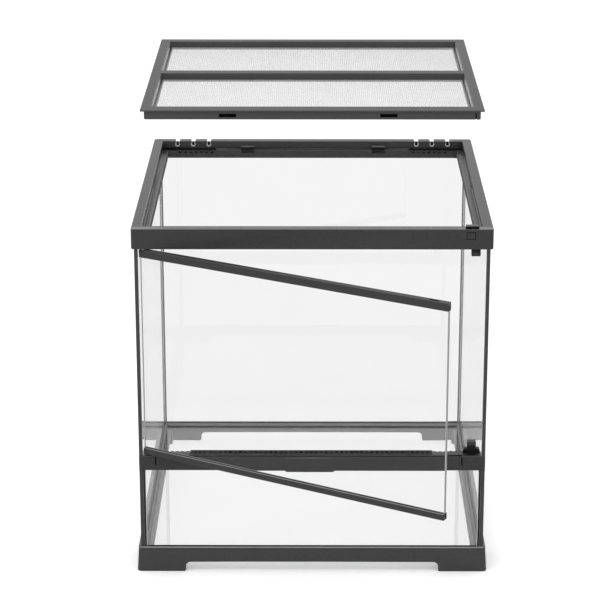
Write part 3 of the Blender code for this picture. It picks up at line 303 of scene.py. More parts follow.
# %% [markdown]
# ## Glass
# Float glass is clear, and what shows it is a slight loss of light through
# it, its reflections, and its edges. The tank's edges are polished, so they
# stay clear with a green cast, and the door's free edge is ground and looks
# grey. A faint cloud in the tint stands for the haze that wiping leaves. The
# door gets a weaker reflection, because the bar behind it stays dark in the
# photograph.

# %% Glass
GRIND_HEIGHT = 0.04 * MM


def clear_glass(name, tint, haze, mirror):
    """Clear glass, which mirrors only a share of what bare glass does."""
    material, tree, shader, place = start_material(name)
    colour = blend_colours(tree, noise(tree, place, 9, 5, 0, 1), tint, shaded(tint, haze))
    tree.links.new(colour, shader.inputs["Base Color"])
    shader.inputs["Roughness"].default_value = 0
    shader.inputs["IOR"].default_value = 1.5
    shader.inputs["Specular Tint"].default_value = (mirror, mirror, mirror, 1)
    shader.inputs["Transmission Weight"].default_value = 1
    print("glass:", name, "tint:", tint, "mirror:", mirror)
    return material


def glass_edge(name, tint, gloss, clear):
    material, tree, shader, place = start_material(name)
    streak = noise(tree, place, 300, 3, 0, 1, (1, 1, 0.15))
    colour = blend_colours(tree, streak, tint, shaded(tint, 0.88))
    tree.links.new(colour, shader.inputs["Base Color"])
    shader.inputs["Roughness"].default_value = gloss
    shader.inputs["IOR"].default_value = 1.5
    shader.inputs["Transmission Weight"].default_value = clear
    add_bump(tree, shader, noise(tree, place, 1800, 2, 0, 1), 0.2, GRIND_HEIGHT)
    print("glass edge:", name, "tint:", tint)
    return material


tank_glass = clear_glass("tank_glass", (0.937, 0.939, 0.937), 0.994, 0.6)
front_pane = clear_glass("low_front_glass", (0.985, 0.987, 0.985), 0.996, 0.6)
floor_pane = clear_glass("floor_glass", (0.97, 0.972, 0.97), 0.994, 1.0)
door_pane = clear_glass("door_glass", (0.985, 0.987, 0.985), 0.996, 0.03)
polished_edge = glass_edge("polished_glass_edge", (0.9, 0.92, 0.91), 0.08, 0.4)
ground_edge = glass_edge("ground_glass_edge", (0.5, 0.52, 0.51), 0.28, 0.5)

# %% [markdown]
# ## Silicone and rubber
# Silicone is drawn from a tube and smoothed with a finger, which leaves long
# shallow waves and a soft shine. The beads inside the tank are grey, and the
# ones at its front are nearly black. The cable rings are a light soft rubber.

# %% Silicone and rubber
WAVE_HEIGHT = 0.06 * MM


def soft_rubber(name, colour, gloss, shine=0.5):
    material, tree, shader, place = start_material(name)
    mixed = blend_colours(tree, noise(tree, place, 40, 3, 0, 1), colour, shaded(colour, 1.1))
    tree.links.new(mixed, shader.inputs["Base Color"])
    tree.links.new(noise(tree, place, 150, 3, gloss - 0.05, gloss + 0.05), shader.inputs["Roughness"])
    shader.inputs["Specular IOR Level"].default_value = shine
    add_bump(tree, shader, noise(tree, place, 160, 2, 0, 1, (0.3, 0.3, 0.3)), 0.1, WAVE_HEIGHT)
    print("rubber:", name, "colour:", colour)
    return material


dark_silicone = soft_rubber("dark_silicone", (0.02, 0.02, 0.021), 0.4, 0.2)
corner_silicone = soft_rubber("grey_silicone", (0.17, 0.17, 0.17), 0.4, 0.3)
floor_silicone = soft_rubber("floor_silicone", (0.2, 0.2, 0.2), 0.5, 0.2)
ring_rubber = soft_rubber("light_ring", (0.6, 0.6, 0.6), 0.35)
# Painted shade for the outer half of the cable rings.
ring_shadow = soft_rubber("painted_shade_ring", (0.03, 0.03, 0.03), 0.5, 0.2)

# %% [markdown]
# ## Metals
# The hinge pins are turned steel, with fine rings round them, and the stop
# screws are blackened. The lid's wire is bright and only a little tarnished,
# in broad patches.


# %% Metals
def bright_metal(name, colour, gloss, stretch):
    material, tree, shader, place = start_material(name)
    mixed = blend_colours(tree, noise(tree, place, 25, 4, 0, 1), colour, shaded(colour, 0.88))
    tree.links.new(mixed, shader.inputs["Base Color"])
    shader.inputs["Metallic"].default_value = 1
    roughness = noise(tree, place, 900, 3, gloss - 0.08, gloss + 0.1, stretch)
    tree.links.new(roughness, shader.inputs["Roughness"])
    print("metal:", name, "colour:", colour)
    return material


turned_steel = bright_metal("turned_steel", (0.45, 0.45, 0.46), 0.3, (0.1, 0.1, 1))
black_steel = bright_metal("blackened_steel", (0.03, 0.03, 0.03), 0.4, (1, 1, 1))
wire_metal = bright_metal("bright_wire", (0.56, 0.56, 0.56), 0.35, (1, 1, 1))
hem_metal = bright_metal("rolled_hem", (0.82, 0.82, 0.82), 0.3, (0.2, 1, 1))

# %% [markdown]
# ## From solid to moulded piece
# The solids have knife-sharp edges, which no mould makes. A solid's mesh is
# loose triangles, so a copy of it is welded and its flat faces are made whole.
# A face can't have a hole in it, so a frame is first cut across its openings,
# and the faces stay apart there. Then its long sharp edges are bevelled in
# three steps. The bevels that face up take a painted highlight. Small features
# keep their crisp edges, because a bevel as wide as they are would eat them.

# %% Helpers for pieces
SHARP_ANGLE = math.radians(30)  # an edge that turns by more can be bevelled
CRISP_ANGLE = math.radians(40)  # an edge that turns by more isn't shaded smooth
UPWARD = 0.3  # least Z of the normal of a face that looks up


def cut_at(across_x=(), across_y=()):
    """Cutting planes at places along X and along Y, in millimetres."""
    planes = [(Vector((place * MM, 0, 0)), Vector((1, 0, 0))) for place in across_x]
    return planes + [(Vector((0, place * MM, 0)), Vector((0, 1, 0))) for place in across_y]


def cut_across(bm, planes):
    """Cuts every face at the planes and gives back the new edges."""
    edges = []
    for place, normal in planes:
        whole = bm.verts[:] + bm.edges[:] + bm.faces[:]
        cut = bmesh.ops.bisect_plane(bm, geom=whole, dist=0.001 * MM, plane_co=place, plane_no=normal)
        edges += [item for item in cut["geom_cut"] if isinstance(item, bmesh.types.BMEdge)]
    return edges


def welded_copy(node, planes=()):
    """A copy of the solid with whole flat faces, which stay apart at the cutting planes."""
    bm = bmesh.new()
    bm.from_mesh(solids[node].data)
    bmesh.ops.remove_doubles(bm, verts=bm.verts, dist=0.02 * MM)
    for edge in cut_across(bm, planes):
        if edge.is_valid:
            edge.seam = True
    flat = math.radians(1)
    bmesh.ops.dissolve_limit(bm, angle_limit=flat, verts=bm.verts, edges=bm.edges, delimit={"SEAM"})
    return bm


def at_corner(bm, reach):
    """The points within reach of a corner of the piece's outline, seen from above."""
    found = set(bm.verts)
    for axis in (0, 1):
        places = [vert.co[axis] for vert in bm.verts]
        low, high = min(places), max(places)
        found = {vert for vert in found if min(vert.co[axis] - low, high - vert.co[axis]) < reach}
    return found


def sharp_edges(bm, longest_small=0.0, always=()):
    """Sharp edges that are longer than longest_small or lie between points of always."""
    found = []
    for edge in bm.edges:
        if edge.is_manifold and edge.calc_face_angle() > SHARP_ANGLE:
            if edge.calc_length() > longest_small or all(vert in always for vert in edge.verts):
                found.append(edge)
    return found


def with_room(edges, room):
    """The edges whose ends have no neighbour that is shorter than room, so that a bevel fits."""
    chosen = set(edges)
    fitting = []
    for edge in edges:
        beside = [other for vert in edge.verts for other in vert.link_edges if other not in chosen]
        if all(other.calc_length() > room for other in beside):
            fitting.append(edge)
    return fitting


def bevel_edges(bm, edges, radius, segments=3, clamped=False):
    made = bmesh.ops.bevel(
        bm,
        geom=edges,
        offset=radius,
        segments=segments,
        profile=0.5,
        affect="EDGES",
        clamp_overlap=clamped,
        material=-1,
    )
    return made["faces"]


def looks_up(face):
    return face.normal.z > UPWARD


def soften(bm, edges, radius, segments=3, highlight_index=1):
    """Bevels the edges. New faces that look up get material highlight_index, a painted highlight."""
    for face in bevel_edges(bm, with_room(edges, radius), radius, segments):
        if looks_up(face):
            face.material_index = highlight_index


def add_piece(bm, name, body, materials, replaced=()):
    """Makes the piece, shades it smooth with crisp corners, and says what it rides on and replaces."""
    for face in bm.faces:
        face.smooth = True
    for edge in bm.edges:
        edge.smooth = not (edge.is_manifold and edge.calc_face_angle() > CRISP_ANGLE)
    mesh = bpy.data.meshes.new(name)
    bm.to_mesh(mesh)
    bm.free()
    for material in materials:
        mesh.materials.append(material)
    piece = bpy.data.objects.new(name, mesh)
    scene.collection.objects.link(piece)
    weighted = piece.modifiers.new("even_shading", "WEIGHTED_NORMAL")
    weighted.keep_sharp = True
    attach(piece, body)
    if replaced:
        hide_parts(*replaced)
    print("piece:", name, "faces:", len(mesh.polygons))
    return piece


def add_look(bm, node, body, slot, *materials):
    """A piece that stands for one solid."""
    return add_piece(bm, f"{node}_look", body, materials, (node,))


# %% [markdown]
# ## The base
# The base and the top frame each come out of one mould, and their long edges
# have a radius of nearly a millimetre. On the base the lower corners of the
# arches are rounded before that. Its front lip takes a painted highlight, and
# the narrow strip between this lip and the low pane is painted black as shade.

# %% Base frame
OUTER_CORNER = 7 * MM
ARCH_FOOT_RADIUS = 3.0 * MM
FOOT_WALL = 6 * MM  # the edges at the foot that run through the wall are shorter
BASE_LONG = 8 * MM  # shorter edges stay crisp, but for those at a corner
BASE_RADIUS = 0.9 * MM
SHADE_WIDTH = 1.4 * MM  # from the light lip to the low pane
MIDDLE_Y = 103  # in millimetres

base = welded_copy("base_frame", cut_at((0,), (MIDDLE_Y,)))
base_corners = at_corner(base, OUTER_CORNER)
foot_edges = []
for edge in sharp_edges(base):
    low_edge = all(vert.co.z < 0.1 * MM for vert in edge.verts)
    at_outer_corner = any(vert in base_corners for vert in edge.verts)
    if low_edge and edge.calc_length() < FOOT_WALL and not at_outer_corner:
        foot_edges.append(edge)
bevel_edges(base, foot_edges, ARCH_FOOT_RADIUS, 4)
print("edges rounded at the arches:", len(foot_edges))
soften(base, sharp_edges(base, BASE_LONG, at_corner(base, OUTER_CORNER)), BASE_RADIUS)
pane_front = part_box("front_low_glass")[0].y
lip_rear = pane_front - SHADE_WIDTH
base_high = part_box("base_frame")[1]
cut_across(base, cut_at((), (lip_rear / MM, pane_front / MM)))
# The lip's top takes a painted highlight, and the strip behind it painted shade.
for face in base.faces:
    place = face.calc_center_median()
    if looks_up(face) and place.y < pane_front and place.z > base_high.z - MM:
        face.material_index = 2 if place.y < lip_rear else 3
base_finish = (base_plastic, highlight_edge_plastic, lip_highlight_plastic, matt_black_and_shade)
add_look(base, "base_frame", "tank", "frame_plastic", *base_finish)

# %% [markdown]
# ## The top frame
# Here the mouths of the cable inlets are rounded first. The square that is
# engraved beside the lock is only a fine line, so its groove is painted matt
# black as shade. The flat of the front rim takes a painted highlight, and the
# two side walls of the mouth take a lighter, more matt grey as painted light.

# %% Top frame
BADGE_PAST_LOCK = 2.4 * MM
BADGE_HALF = 7 * MM
BADGE_ABOVE_FOOT = 5 * MM
BADGE_BELOW_TOP = 2 * MM
GROOVE_DEPTH = 0.6 * MM
INLET_HALF = 4.5 * MM
INLET_RADIUS = 1.1 * MM
MOUTH_HALF = 207.9 * MM
RIM_DEPTH = 10.5 * MM
TOP_LONG = 14 * MM
TOP_RADIUS = 0.8 * MM
LOCK_X = 203  # these two are in millimetres
INLETS_X = 172

top = welded_copy("top_frame", cut_at((0, LOCK_X, -INLETS_X, INLETS_X), (MIDDLE_Y,)))
top_low, top_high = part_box("top_frame")
lock_low, lock_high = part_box("door_lock")
badge_x = (lock_low.x + lock_high.x) / 2 + BADGE_PAST_LOCK
inlets = []
for side in ("left", "right"):
    for count in (1, 2, 3):
        ring_low, ring_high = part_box(f"grommet_{side}_{count}")
        inlets.append((ring_low.x + ring_high.x) / 2)
notch_edges = []
for edge in sharp_edges(top):
    middle = (edge.verts[0].co + edge.verts[1].co) / 2
    over_inlet = any(abs(middle.x - inlet) < INLET_HALF for inlet in inlets)
    runs_back = abs(edge.verts[0].co.y - edge.verts[1].co.y) > 0.9 * edge.calc_length()
    if over_inlet and runs_back and middle.z > top_high.z - 0.1 * MM and middle.y > 0:
        notch_edges.append(edge)
bevel_edges(top, notch_edges, INLET_RADIUS)
print("edges rounded at the cable inlets:", len(notch_edges))
soften(top, sharp_edges(top, TOP_LONG, at_corner(top, OUTER_CORNER)), TOP_RADIUS)
cut_across(top, cut_at((), ((top_low.y + RIM_DEPTH) / MM,)))
grooves = 0
for face in top.faces:
    place = face.calc_center_median()
    depth = place.y - top_low.y
    # The groove of the engraved line takes painted shade.
    in_groove = 0.1 * MM < depth < GROOVE_DEPTH + 0.05 * MM and face.material_index == 0
    if in_groove and abs(place.x - badge_x) < BADGE_HALF:
        if top_low.z + BADGE_ABOVE_FOOT < place.z < top_high.z - BADGE_BELOW_TOP:
            face.material_index = 2
            grooves += 1
    # The side walls of the mouth take painted light.
    if abs(face.normal.x) > 0.9 and abs(abs(place.x) - MOUTH_HALF) < 0.5 * MM:
        face.material_index = 3
    # The flat of the front rim takes a painted highlight.
    if face.normal.z > 0.9 and depth < RIM_DEPTH and place.z > top_high.z - MM:
        face.material_index = 1
print("faces of the engraved line:", grooves)
top_finish = (frame_plastic, highlight_edge_plastic, matt_black_and_shade, lit_wall_plastic)
add_look(top, "top_frame", "tank", "frame_plastic", *top_finish)

# %% [markdown]
# ## Bar, rails and lid frame
# These are thinner, so their edges get a smaller radius. The two lips of the
# door's lower rail take a painted highlight, which shows as two light lines. On
# the bar, the groove behind the door is painted black as shade from slit to
# slit, and the deck in front of the grille is darker and more matt than its two
# ends.

# %% Bar, rails and lid frame
GRILLE_HALF = 158.6  # these eight are in millimetres
SLIT_LEFT = -203.4
SLIT_RIGHT = 194.8
GROOVE_FRONT = -124.4
GROOVE_REAR = -119.6
DECK_FRONT = -117.9
LID_CUTS_X = (0, -99, 95)  # through the middle and the slots in the skirt
LID_CUTS_Y = (5.4, 209.3)  # through the two windows
DOOR_SWING = math.radians(29.5)
HINGE = Vector((-213.45 * MM, -117.5713 * MM, 0))
ALONG_DOOR = Vector((math.cos(DOOR_SWING), -math.sin(DOOR_SWING), 0))
LOCK_SLOT = 411.15 * MM

for node, body, radius, longest_small, planes in (
    ("vent_bar", "tank", 0.6, 20, cut_at((0, SLIT_LEFT, SLIT_RIGHT))),
    ("door_top_rail", "door", 0.6, 6, [(HINGE + ALONG_DOOR * LOCK_SLOT, ALONG_DOOR)]),
    ("door_bottom_rail", "door", 0.45, 6, ()),
    ("lid_frame", "lid", 0.6, 20, cut_at(LID_CUTS_X, LID_CUTS_Y)),
):
    bm = welded_copy(node, planes)
    soften(bm, sharp_edges(bm, longest_small * MM), radius * MM)
    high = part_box(node)[1]
    if node == "vent_bar":
        cut_across(bm, cut_at((-GRILLE_HALF, GRILLE_HALF), (GROOVE_FRONT, GROOVE_REAR, DECK_FRONT)))
    for face in bm.faces:
        place = face.calc_center_median()
        # The lips of the lower rail take a painted highlight.
        if node == "door_bottom_rail" and looks_up(face) and place.z > high.z - 0.5 * MM:
            face.material_index = 2
        # The bar's groove between the slits takes painted shade.
        if node == "vent_bar" and place.z > high.z - 1.2 * MM:
            if GROOVE_FRONT * MM < place.y < GROOVE_REAR * MM:
                face.material_index = 3 if SLIT_LEFT * MM < place.x < SLIT_RIGHT * MM else 0
            elif face.normal.z > 0.9 and place.y > DECK_FRONT * MM and abs(place.x) < GRILLE_HALF * MM:
                face.material_index = 4
    plastic = {"lid_frame": lid_plastic, "vent_bar": bar_plastic}.get(node, frame_plastic)
    finish = (plastic, highlight_edge_plastic, lip_highlight_plastic, matt_black_and_shade, deck_plastic)
    add_look(bm, node, body, "frame_plastic", *finish)

# %% [markdown]
# ## Lock, clips, stops and gates
# These small black pieces are mostly edges. The lead-in at the top of each
# clip and the screw pads of the stops take a painted highlight, and so do the
# faces of the lock that look up. On clips and stops each such zone is split off
# with a bisect plane and takes its own plastic. The gates are black, and only
# their handles are grey, with matt black grips.


# %% Small moulded pieces
def split_zone(bm, height, above, index):
    """Cuts the faces at a height and gives those on one side of it another material."""
    cut_across(bm, [((0, 0, height), (0, 0, 1))])
    for face in bm.faces:
        if (face.calc_center_median().z > height) == above:
            face.material_index = index


lock = welded_copy("door_lock")
soften(lock, sharp_edges(lock, 3 * MM), 0.35 * MM)
# The lock's faces that look up take a painted highlight.
for face in lock.faces:
    face.material_index = 1 if looks_up(face) else 0
add_look(lock, "door_lock", "lock", "black_plastic", black_plastic, highlight_black_plastic)

LEAD_IN = 1.7 * MM
for place in ("rear_left", "rear_right", "front_left", "front_right"):
    clip = welded_copy(f"lid_clip_{place}")
    clip_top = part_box(f"lid_clip_{place}")[1].z
    soften(clip, sharp_edges(clip, 2 * MM), 0.15 * MM)
    # The clip's lead-in at the top takes a painted highlight.
    split_zone(clip, clip_top - LEAD_IN, True, 1)
    add_look(clip, f"lid_clip_{place}", "tank", "black_plastic", black_plastic, highlight_edge_plastic)

STOP_SCREWS_X = (203.35, 211.65)  # in millimetres
SCREW_PAD = 5 * MM
for level in ("lower", "upper"):
    stop = welded_copy(f"door_stop_{level}", cut_at(STOP_SCREWS_X))
    low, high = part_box(f"door_stop_{level}")
    soften(stop, sharp_edges(stop, 3 * MM), 0.3 * MM, highlight_index=0)
    pad_edge = high.z - SCREW_PAD if level == "lower" else low.z + SCREW_PAD
    # The zone round the screws takes a painted highlight.
    split_zone(stop, pad_edge, level == "lower", 1)
    add_look(stop, f"door_stop_{level}", "tank", "black_plastic", black_plastic, highlight_black_plastic)

GRIP_DEPTH = 0.4 * MM
HANDLE_DEPTH = 0.9 * MM
gate_finish = (frame_plastic, frame_plastic, matt_black_and_shade, black_plastic)
for side in ("left", "right"):
    gate = welded_copy(f"wire_gate_{side}")
    grip_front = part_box(f"wire_gate_{side}")[0].y
    soften(gate, sharp_edges(gate, 6 * MM), 0.15 * MM)
    for face in gate.faces:
        depth = face.calc_center_median().y - grip_front
        if depth < GRIP_DEPTH:
            face.material_index = 2
        elif depth > HANDLE_DEPTH:
            face.material_index = 3
    add_look(gate, f"wire_gate_{side}", f"gate_{side}", "frame_plastic", *gate_finish)

# %% [markdown]
# ## Panes
# Each pane is cut, and then its edges are ground: a chamfer of half a
# millimetre runs round both faces. The two big faces stay clear and every
# narrow face takes the finish of the edge.

# %% Panes
CHAMFER = 0.5 * MM


def pane(node, body, clear, edge):
    bm = welded_copy(node)
    bevel_edges(bm, bm.edges[:], CHAMFER, 1)
    widest = max(face.calc_area() for face in bm.faces)
    for face in bm.faces:
        face.material_index = 0 if face.calc_area() > widest / 2 else 1
    add_look(bm, node, body, "clear_glass", clear, edge)


for node in ("back_glass", "left_glass", "right_glass"):
    pane(node, "tank", tank_glass, polished_edge)
pane("front_low_glass", "tank", front_pane, polished_edge)
pane("floor_glass", "tank", floor_pane, polished_edge)
pane("door_glass", "door", door_pane, ground_edge)

# %% [markdown]
# ## Silicone beads
# The bead in a rear corner is drawn tight into it by the finger that smooths
# it, and its open face sinks in. So the bead is scaled towards the corner, that
# face's two short edges are subdivided, and the new points sink by a parabola.
# The other seams only get round edges, and so do the dark strips that cap the
# side panes. The seams beside the low pane reach out to the side panes, so that
# no light line is left between them and the strips.


# %% Beads and strips
def hollow_bead(node, tightness, depth, cuts):
    """A bead in a rear corner, scaled by tightness, its open face sunk in by depth."""
    low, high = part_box(node)
    corner = Vector((low.x if low.x < 0 else high.x, high.y, 0))
    bm = welded_copy(node)
    bmesh.ops.scale(bm, vec=(tightness, tightness, 1), space=Matrix.Translation(-corner), verts=bm.verts)
    slanted = [face for face in bm.faces if abs(face.normal.x * face.normal.y) > 0.2]
    open_face = max(slanted, key=lambda face: face.calc_area())
    inward = -open_face.normal.copy()
    ends = [edge for edge in open_face.edges if abs(edge.verts[0].co.z - edge.verts[1].co.z) < MM]
    first, last = (vert.co.copy() for vert in ends[0].verts)
    bmesh.ops.subdivide_edges(bm, edges=ends, cuts=cuts, use_grid_fill=True)
    along = (last - first).xy
    for vert in bm.verts:
        share = (vert.co - first).xy.dot(along) / along.length_squared
        off_line = abs((vert.co - first).xy.cross(along)) / along.length
        if 0.01 < share < 0.99 and off_line < 0.01 * MM:
            vert.co += inward * depth * 4 * share * (1 - share)
    add_look(bm, node, "tank", "silicone", corner_silicone)


BEAD_TIGHTNESS = 0.62
BEAD_HOLLOW = 0.4 * MM
BEAD_CUTS = 5
for side in ("left", "right"):
    hollow_bead(f"seam_rear_{side}", BEAD_TIGHTNESS, BEAD_HOLLOW, BEAD_CUTS)

SEAM_OUTSIDE = 219 * MM
SEAM_REACH = 0.27 * MM

for node, slot, material, radius in (
    ("seam_front_left", "silicone", dark_silicone, 0.1),
    ("seam_front_right", "silicone", dark_silicone, 0.1),
    ("seam_floor", "silicone", floor_silicone, 0.25),
    ("edge_trim_lower_left", "edge_trim", trim_plastic, 0.25),
    ("edge_trim_lower_right", "edge_trim", trim_plastic, 0.25),
    ("edge_trim_upper_left", "edge_trim", trim_plastic, 0.25),
    ("edge_trim_upper_right", "edge_trim", trim_plastic, 0.25),
):
    bm = welded_copy(node)
    if node.startswith("seam_front"):
        for vert in bm.verts:
            if abs(vert.co.x) > SEAM_OUTSIDE:
                vert.co.x += math.copysign(SEAM_REACH, vert.co.x)
    soften(bm, sharp_edges(bm), radius * MM, highlight_index=0)
    add_look(bm, node, "tank", slot, material)

# %% [markdown]
# ## Small fillers
# Three kinds of filler close gaps that would let the white room through. A
# thin black bead runs along the foot of the low front pane, where it meets the
# base. A plug sits back in each slit of the bar. And a cap closes both ends of
# the door's rails, so that the pane's end doesn't show in their channels.


# %% Bead, plugs and caps
def add_block(bm, low, high, radius, turn=None):
    """A block from low to high with round edges, which turn then puts in place."""
    size = [top_end - bottom_end for bottom_end, top_end in zip(low, high)]
    place = Matrix.Translation([(bottom_end + top_end) / 2 for bottom_end, top_end in zip(low, high)])
    made = bmesh.ops.create_cube(bm, size=1, matrix=place @ Matrix.Diagonal((*size, 1)))
    if turn:
        bmesh.ops.transform(bm, verts=made["verts"], matrix=turn)
    edges = list({edge for vert in made["verts"] for edge in vert.link_edges})
    bevel_edges(bm, edges, radius, 2)


BEAD_GAP = 0.02 * MM
BEAD_DEPTH = 0.75 * MM
BEAD_HEIGHT = 1.4 * MM
pane_low, pane_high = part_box("front_low_glass")
base_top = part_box("base_frame")[1].z
bead = bmesh.new()
bead_low = (pane_low.x + MM, pane_low.y - BEAD_DEPTH, base_top + BEAD_GAP)
bead_high = (pane_high.x - MM, pane_low.y - BEAD_GAP, base_top + BEAD_HEIGHT)
add_block(bead, bead_low, bead_high, 0.25 * MM)
add_piece(bead, "front_pane_bead", "tank", [matt_black_and_shade])

PLUG_HALF = 0.85 * MM
PLUG_FRONT = 2.4 * MM  # both from the low pane's front
PLUG_REAR = 0.4 * MM
PLUG_BOTTOM = 12.3 * MM  # both below the bar's top
PLUG_TOP = 1.0 * MM
bar_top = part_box("vent_bar")[1].z
plugs = bmesh.new()
for slit in (SLIT_LEFT * MM, SLIT_RIGHT * MM):
    plug_low = (slit - PLUG_HALF, pane_low.y - PLUG_FRONT, bar_top - PLUG_BOTTOM)
    plug_high = (slit + PLUG_HALF, pane_low.y - PLUG_REAR, bar_top - PLUG_TOP)
    add_block(plugs, plug_low, plug_high, 0.15 * MM)
add_piece(plugs, "bar_slit_plugs", "tank", [matt_black_and_shade])

# In millimetres: the caps along the door, and their foot and top above the rail's foot.
RAIL_ENDS = ((-4.22, -3.98), (430.84, 431.13))
RAIL_CHANNELS = {"door_top_rail": (0.1, 6.4), "door_bottom_rail": (2.5, 8.3)}
CAP_HALF = 2.75 * MM
DOOR_TURN = Matrix.Translation(HINGE) @ Matrix.Rotation(-DOOR_SWING, 4, "Z")
caps = bmesh.new()
for rail, (channel_low, channel_high) in RAIL_CHANNELS.items():
    rail_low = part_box(rail)[0].z
    for near, far in RAIL_ENDS:
        cap_low = (near * MM, -CAP_HALF, rail_low + channel_low * MM)
        cap_high = (far * MM, CAP_HALF, rail_low + channel_high * MM)
        add_block(caps, cap_low, cap_high, 0.05 * MM, DOOR_TURN)
add_piece(caps, "door_rail_caps", "door", [deck_plastic])

# %% [markdown]
# ## Cable rings
# A soft ring lines each cable inlet and is open at the top, where the cable
# goes in. Its section is a flat plate with round corners, which is spun round
# the inlet's axis by most of a turn, and the two ends are filled. Its outer
# half is painted dark as shade, and its inner half is light.

# %% Cable rings
RING_WALL = 1.6 * MM
RING_LIGHT = 1.0 * MM
RING_OPEN = math.radians(84)
RING_ROUND = 0.45 * MM


def open_ring(node):
    """A flat ring in its inlet, open at the top."""
    low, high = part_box(node)
    radius = (high.x - low.x) / 2
    axis = Vector(((low.x + high.x) / 2, (low.y + high.y) / 2, low.z + radius))
    flat = Matrix.Diagonal((RING_WALL, high.y - low.y, 1, 1))
    bm = bmesh.new()
    bmesh.ops.create_grid(bm, x_segments=1, y_segments=1, size=0.5, matrix=flat)
    bmesh.ops.bevel(
        bm, geom=bm.verts[:], offset=RING_ROUND, segments=3, profile=0.5, affect="VERTICES", material=-1
    )
    border = RING_WALL / 2 - RING_LIGHT
    cut_across(bm, [(Vector((-border, 0, 0)), Vector((1, 0, 0)))])
    bmesh.ops.translate(bm, verts=bm.verts, vec=axis + Vector((radius - RING_WALL / 2, 0, 0)))
    start = Matrix.Rotation(-(math.pi / 2 - RING_OPEN / 2), 4, "Y")
    bmesh.ops.rotate(bm, verts=bm.verts, cent=axis, matrix=start)
    turn = 2 * math.pi - RING_OPEN
    section = bm.verts[:] + bm.edges[:] + bm.faces[:]
    bmesh.ops.spin(bm, geom=section, cent=axis, axis=(0, 1, 0), angle=turn, steps=24, use_merge=False)
    bmesh.ops.holes_fill(bm, edges=[edge for edge in bm.edges if edge.is_boundary])
    bmesh.ops.recalc_face_normals(bm, faces=bm.faces)
    # The outer half takes painted shade.
    for face in bm.faces:
        if (face.calc_center_median() - axis).xz.length > radius - RING_WALL + RING_LIGHT:
            face.material_index = 1
    add_look(bm, node, "tank", "grommet", ring_rubber, ring_shadow)


for side in ("left", "right"):
    for count in (1, 2, 3):
        open_ring(f"grommet_{side}_{count}")

# %% [markdown]
# ## Pins and screws
# The hinge pins are turned, so their edges are broken by a small chamfer. Each
# stop is held by two socket screws: a round bar whose front face is inset and
# pushed in.

# %% Pins and screws
SOCKET_WALL = 0.4 * MM
SOCKET_DEPTH = 0.9 * MM

for level in ("lower", "upper"):
    pin = welded_copy(f"hinge_pin_{level}")
    soften(pin, sharp_edges(pin), 0.2 * MM, 1, highlight_index=0)
    add_look(pin, f"hinge_pin_{level}", "tank", "pin_steel", turned_steel)


def socket_screw(node):
    """A round bar with a hollow in its front face."""
    low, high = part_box(node)
    radius = (high.x - low.x) / 2
    rear = ((low.x + high.x) / 2, high.y, (low.z + high.z) / 2)
    place = Matrix.Translation(rear) @ Matrix.Rotation(math.pi / 2, 4, "X")
    bm = bmesh.new()
    bmesh.ops.create_circle(bm, cap_ends=True, segments=24, radius=radius, matrix=place)
    grown = bmesh.ops.extrude_face_region(bm, geom=bm.faces[:], use_keep_orig=True)["geom"]
    head = next(item for item in grown if isinstance(item, bmesh.types.BMFace))
    bmesh.ops.translate(bm, verts=head.verts, vec=(0, low.y - high.y, 0))
    bmesh.ops.inset_region(bm, faces=[head], thickness=SOCKET_WALL)
    socket = bmesh.ops.extrude_discrete_faces(bm, faces=[head])["faces"][0]
    bmesh.ops.translate(bm, verts=socket.verts, vec=(0, SOCKET_DEPTH, 0))
    bmesh.ops.recalc_face_normals(bm, faces=bm.faces)
    add_look(bm, node, "tank", "pin_steel", black_steel)


for level in ("lower", "upper"):
    for side in ("left", "right"):
        socket_screw(f"door_stop_{level}_screw_{side}")

# %% [markdown]
# ## Woven wire
# The lid is closed with a fine wire cloth. One crimped wire is a ring of four
# corners that is extruded from crossing to crossing, up at one and down at the
# next. A pair of such wires, one crossing apart, is repeated over the window
# by an Array modifier, and the same pair turned by 90 degrees weaves through.


# %% Helpers for wire cloth
def crimped_wire(bm, start, along, count, pitch, radius, phase):
    """A wire from start that runs along X or Y and bends at each of count crossings."""
    step = Vector((pitch, 0, 0)) if along == "X" else Vector((0, pitch, 0))
    upright = Matrix.Rotation(math.pi / 2, 4, "Y" if along == "X" else "X")
    rise = Vector((0, 0, radius * phase))
    place = Matrix.Translation(Vector(start) + rise)
    ring = bmesh.ops.create_circle(bm, cap_ends=False, segments=4, radius=radius, matrix=place @ upright)
    edges = list({edge for vert in ring["verts"] for edge in vert.link_edges})
    for crossing in range(count - 1):
        grown = bmesh.ops.extrude_edge_only(bm, edges=edges)["geom"]
        verts = [item for item in grown if isinstance(item, bmesh.types.BMVert)]
        edges = [item for item in grown if isinstance(item, bmesh.types.BMEdge)]
        edges = [edge for edge in edges if all(vert in verts for vert in edge.verts)]
        turn = -2 * rise if crossing % 2 == 0 else 2 * rise
        bmesh.ops.translate(bm, vec=step + turn, verts=verts)


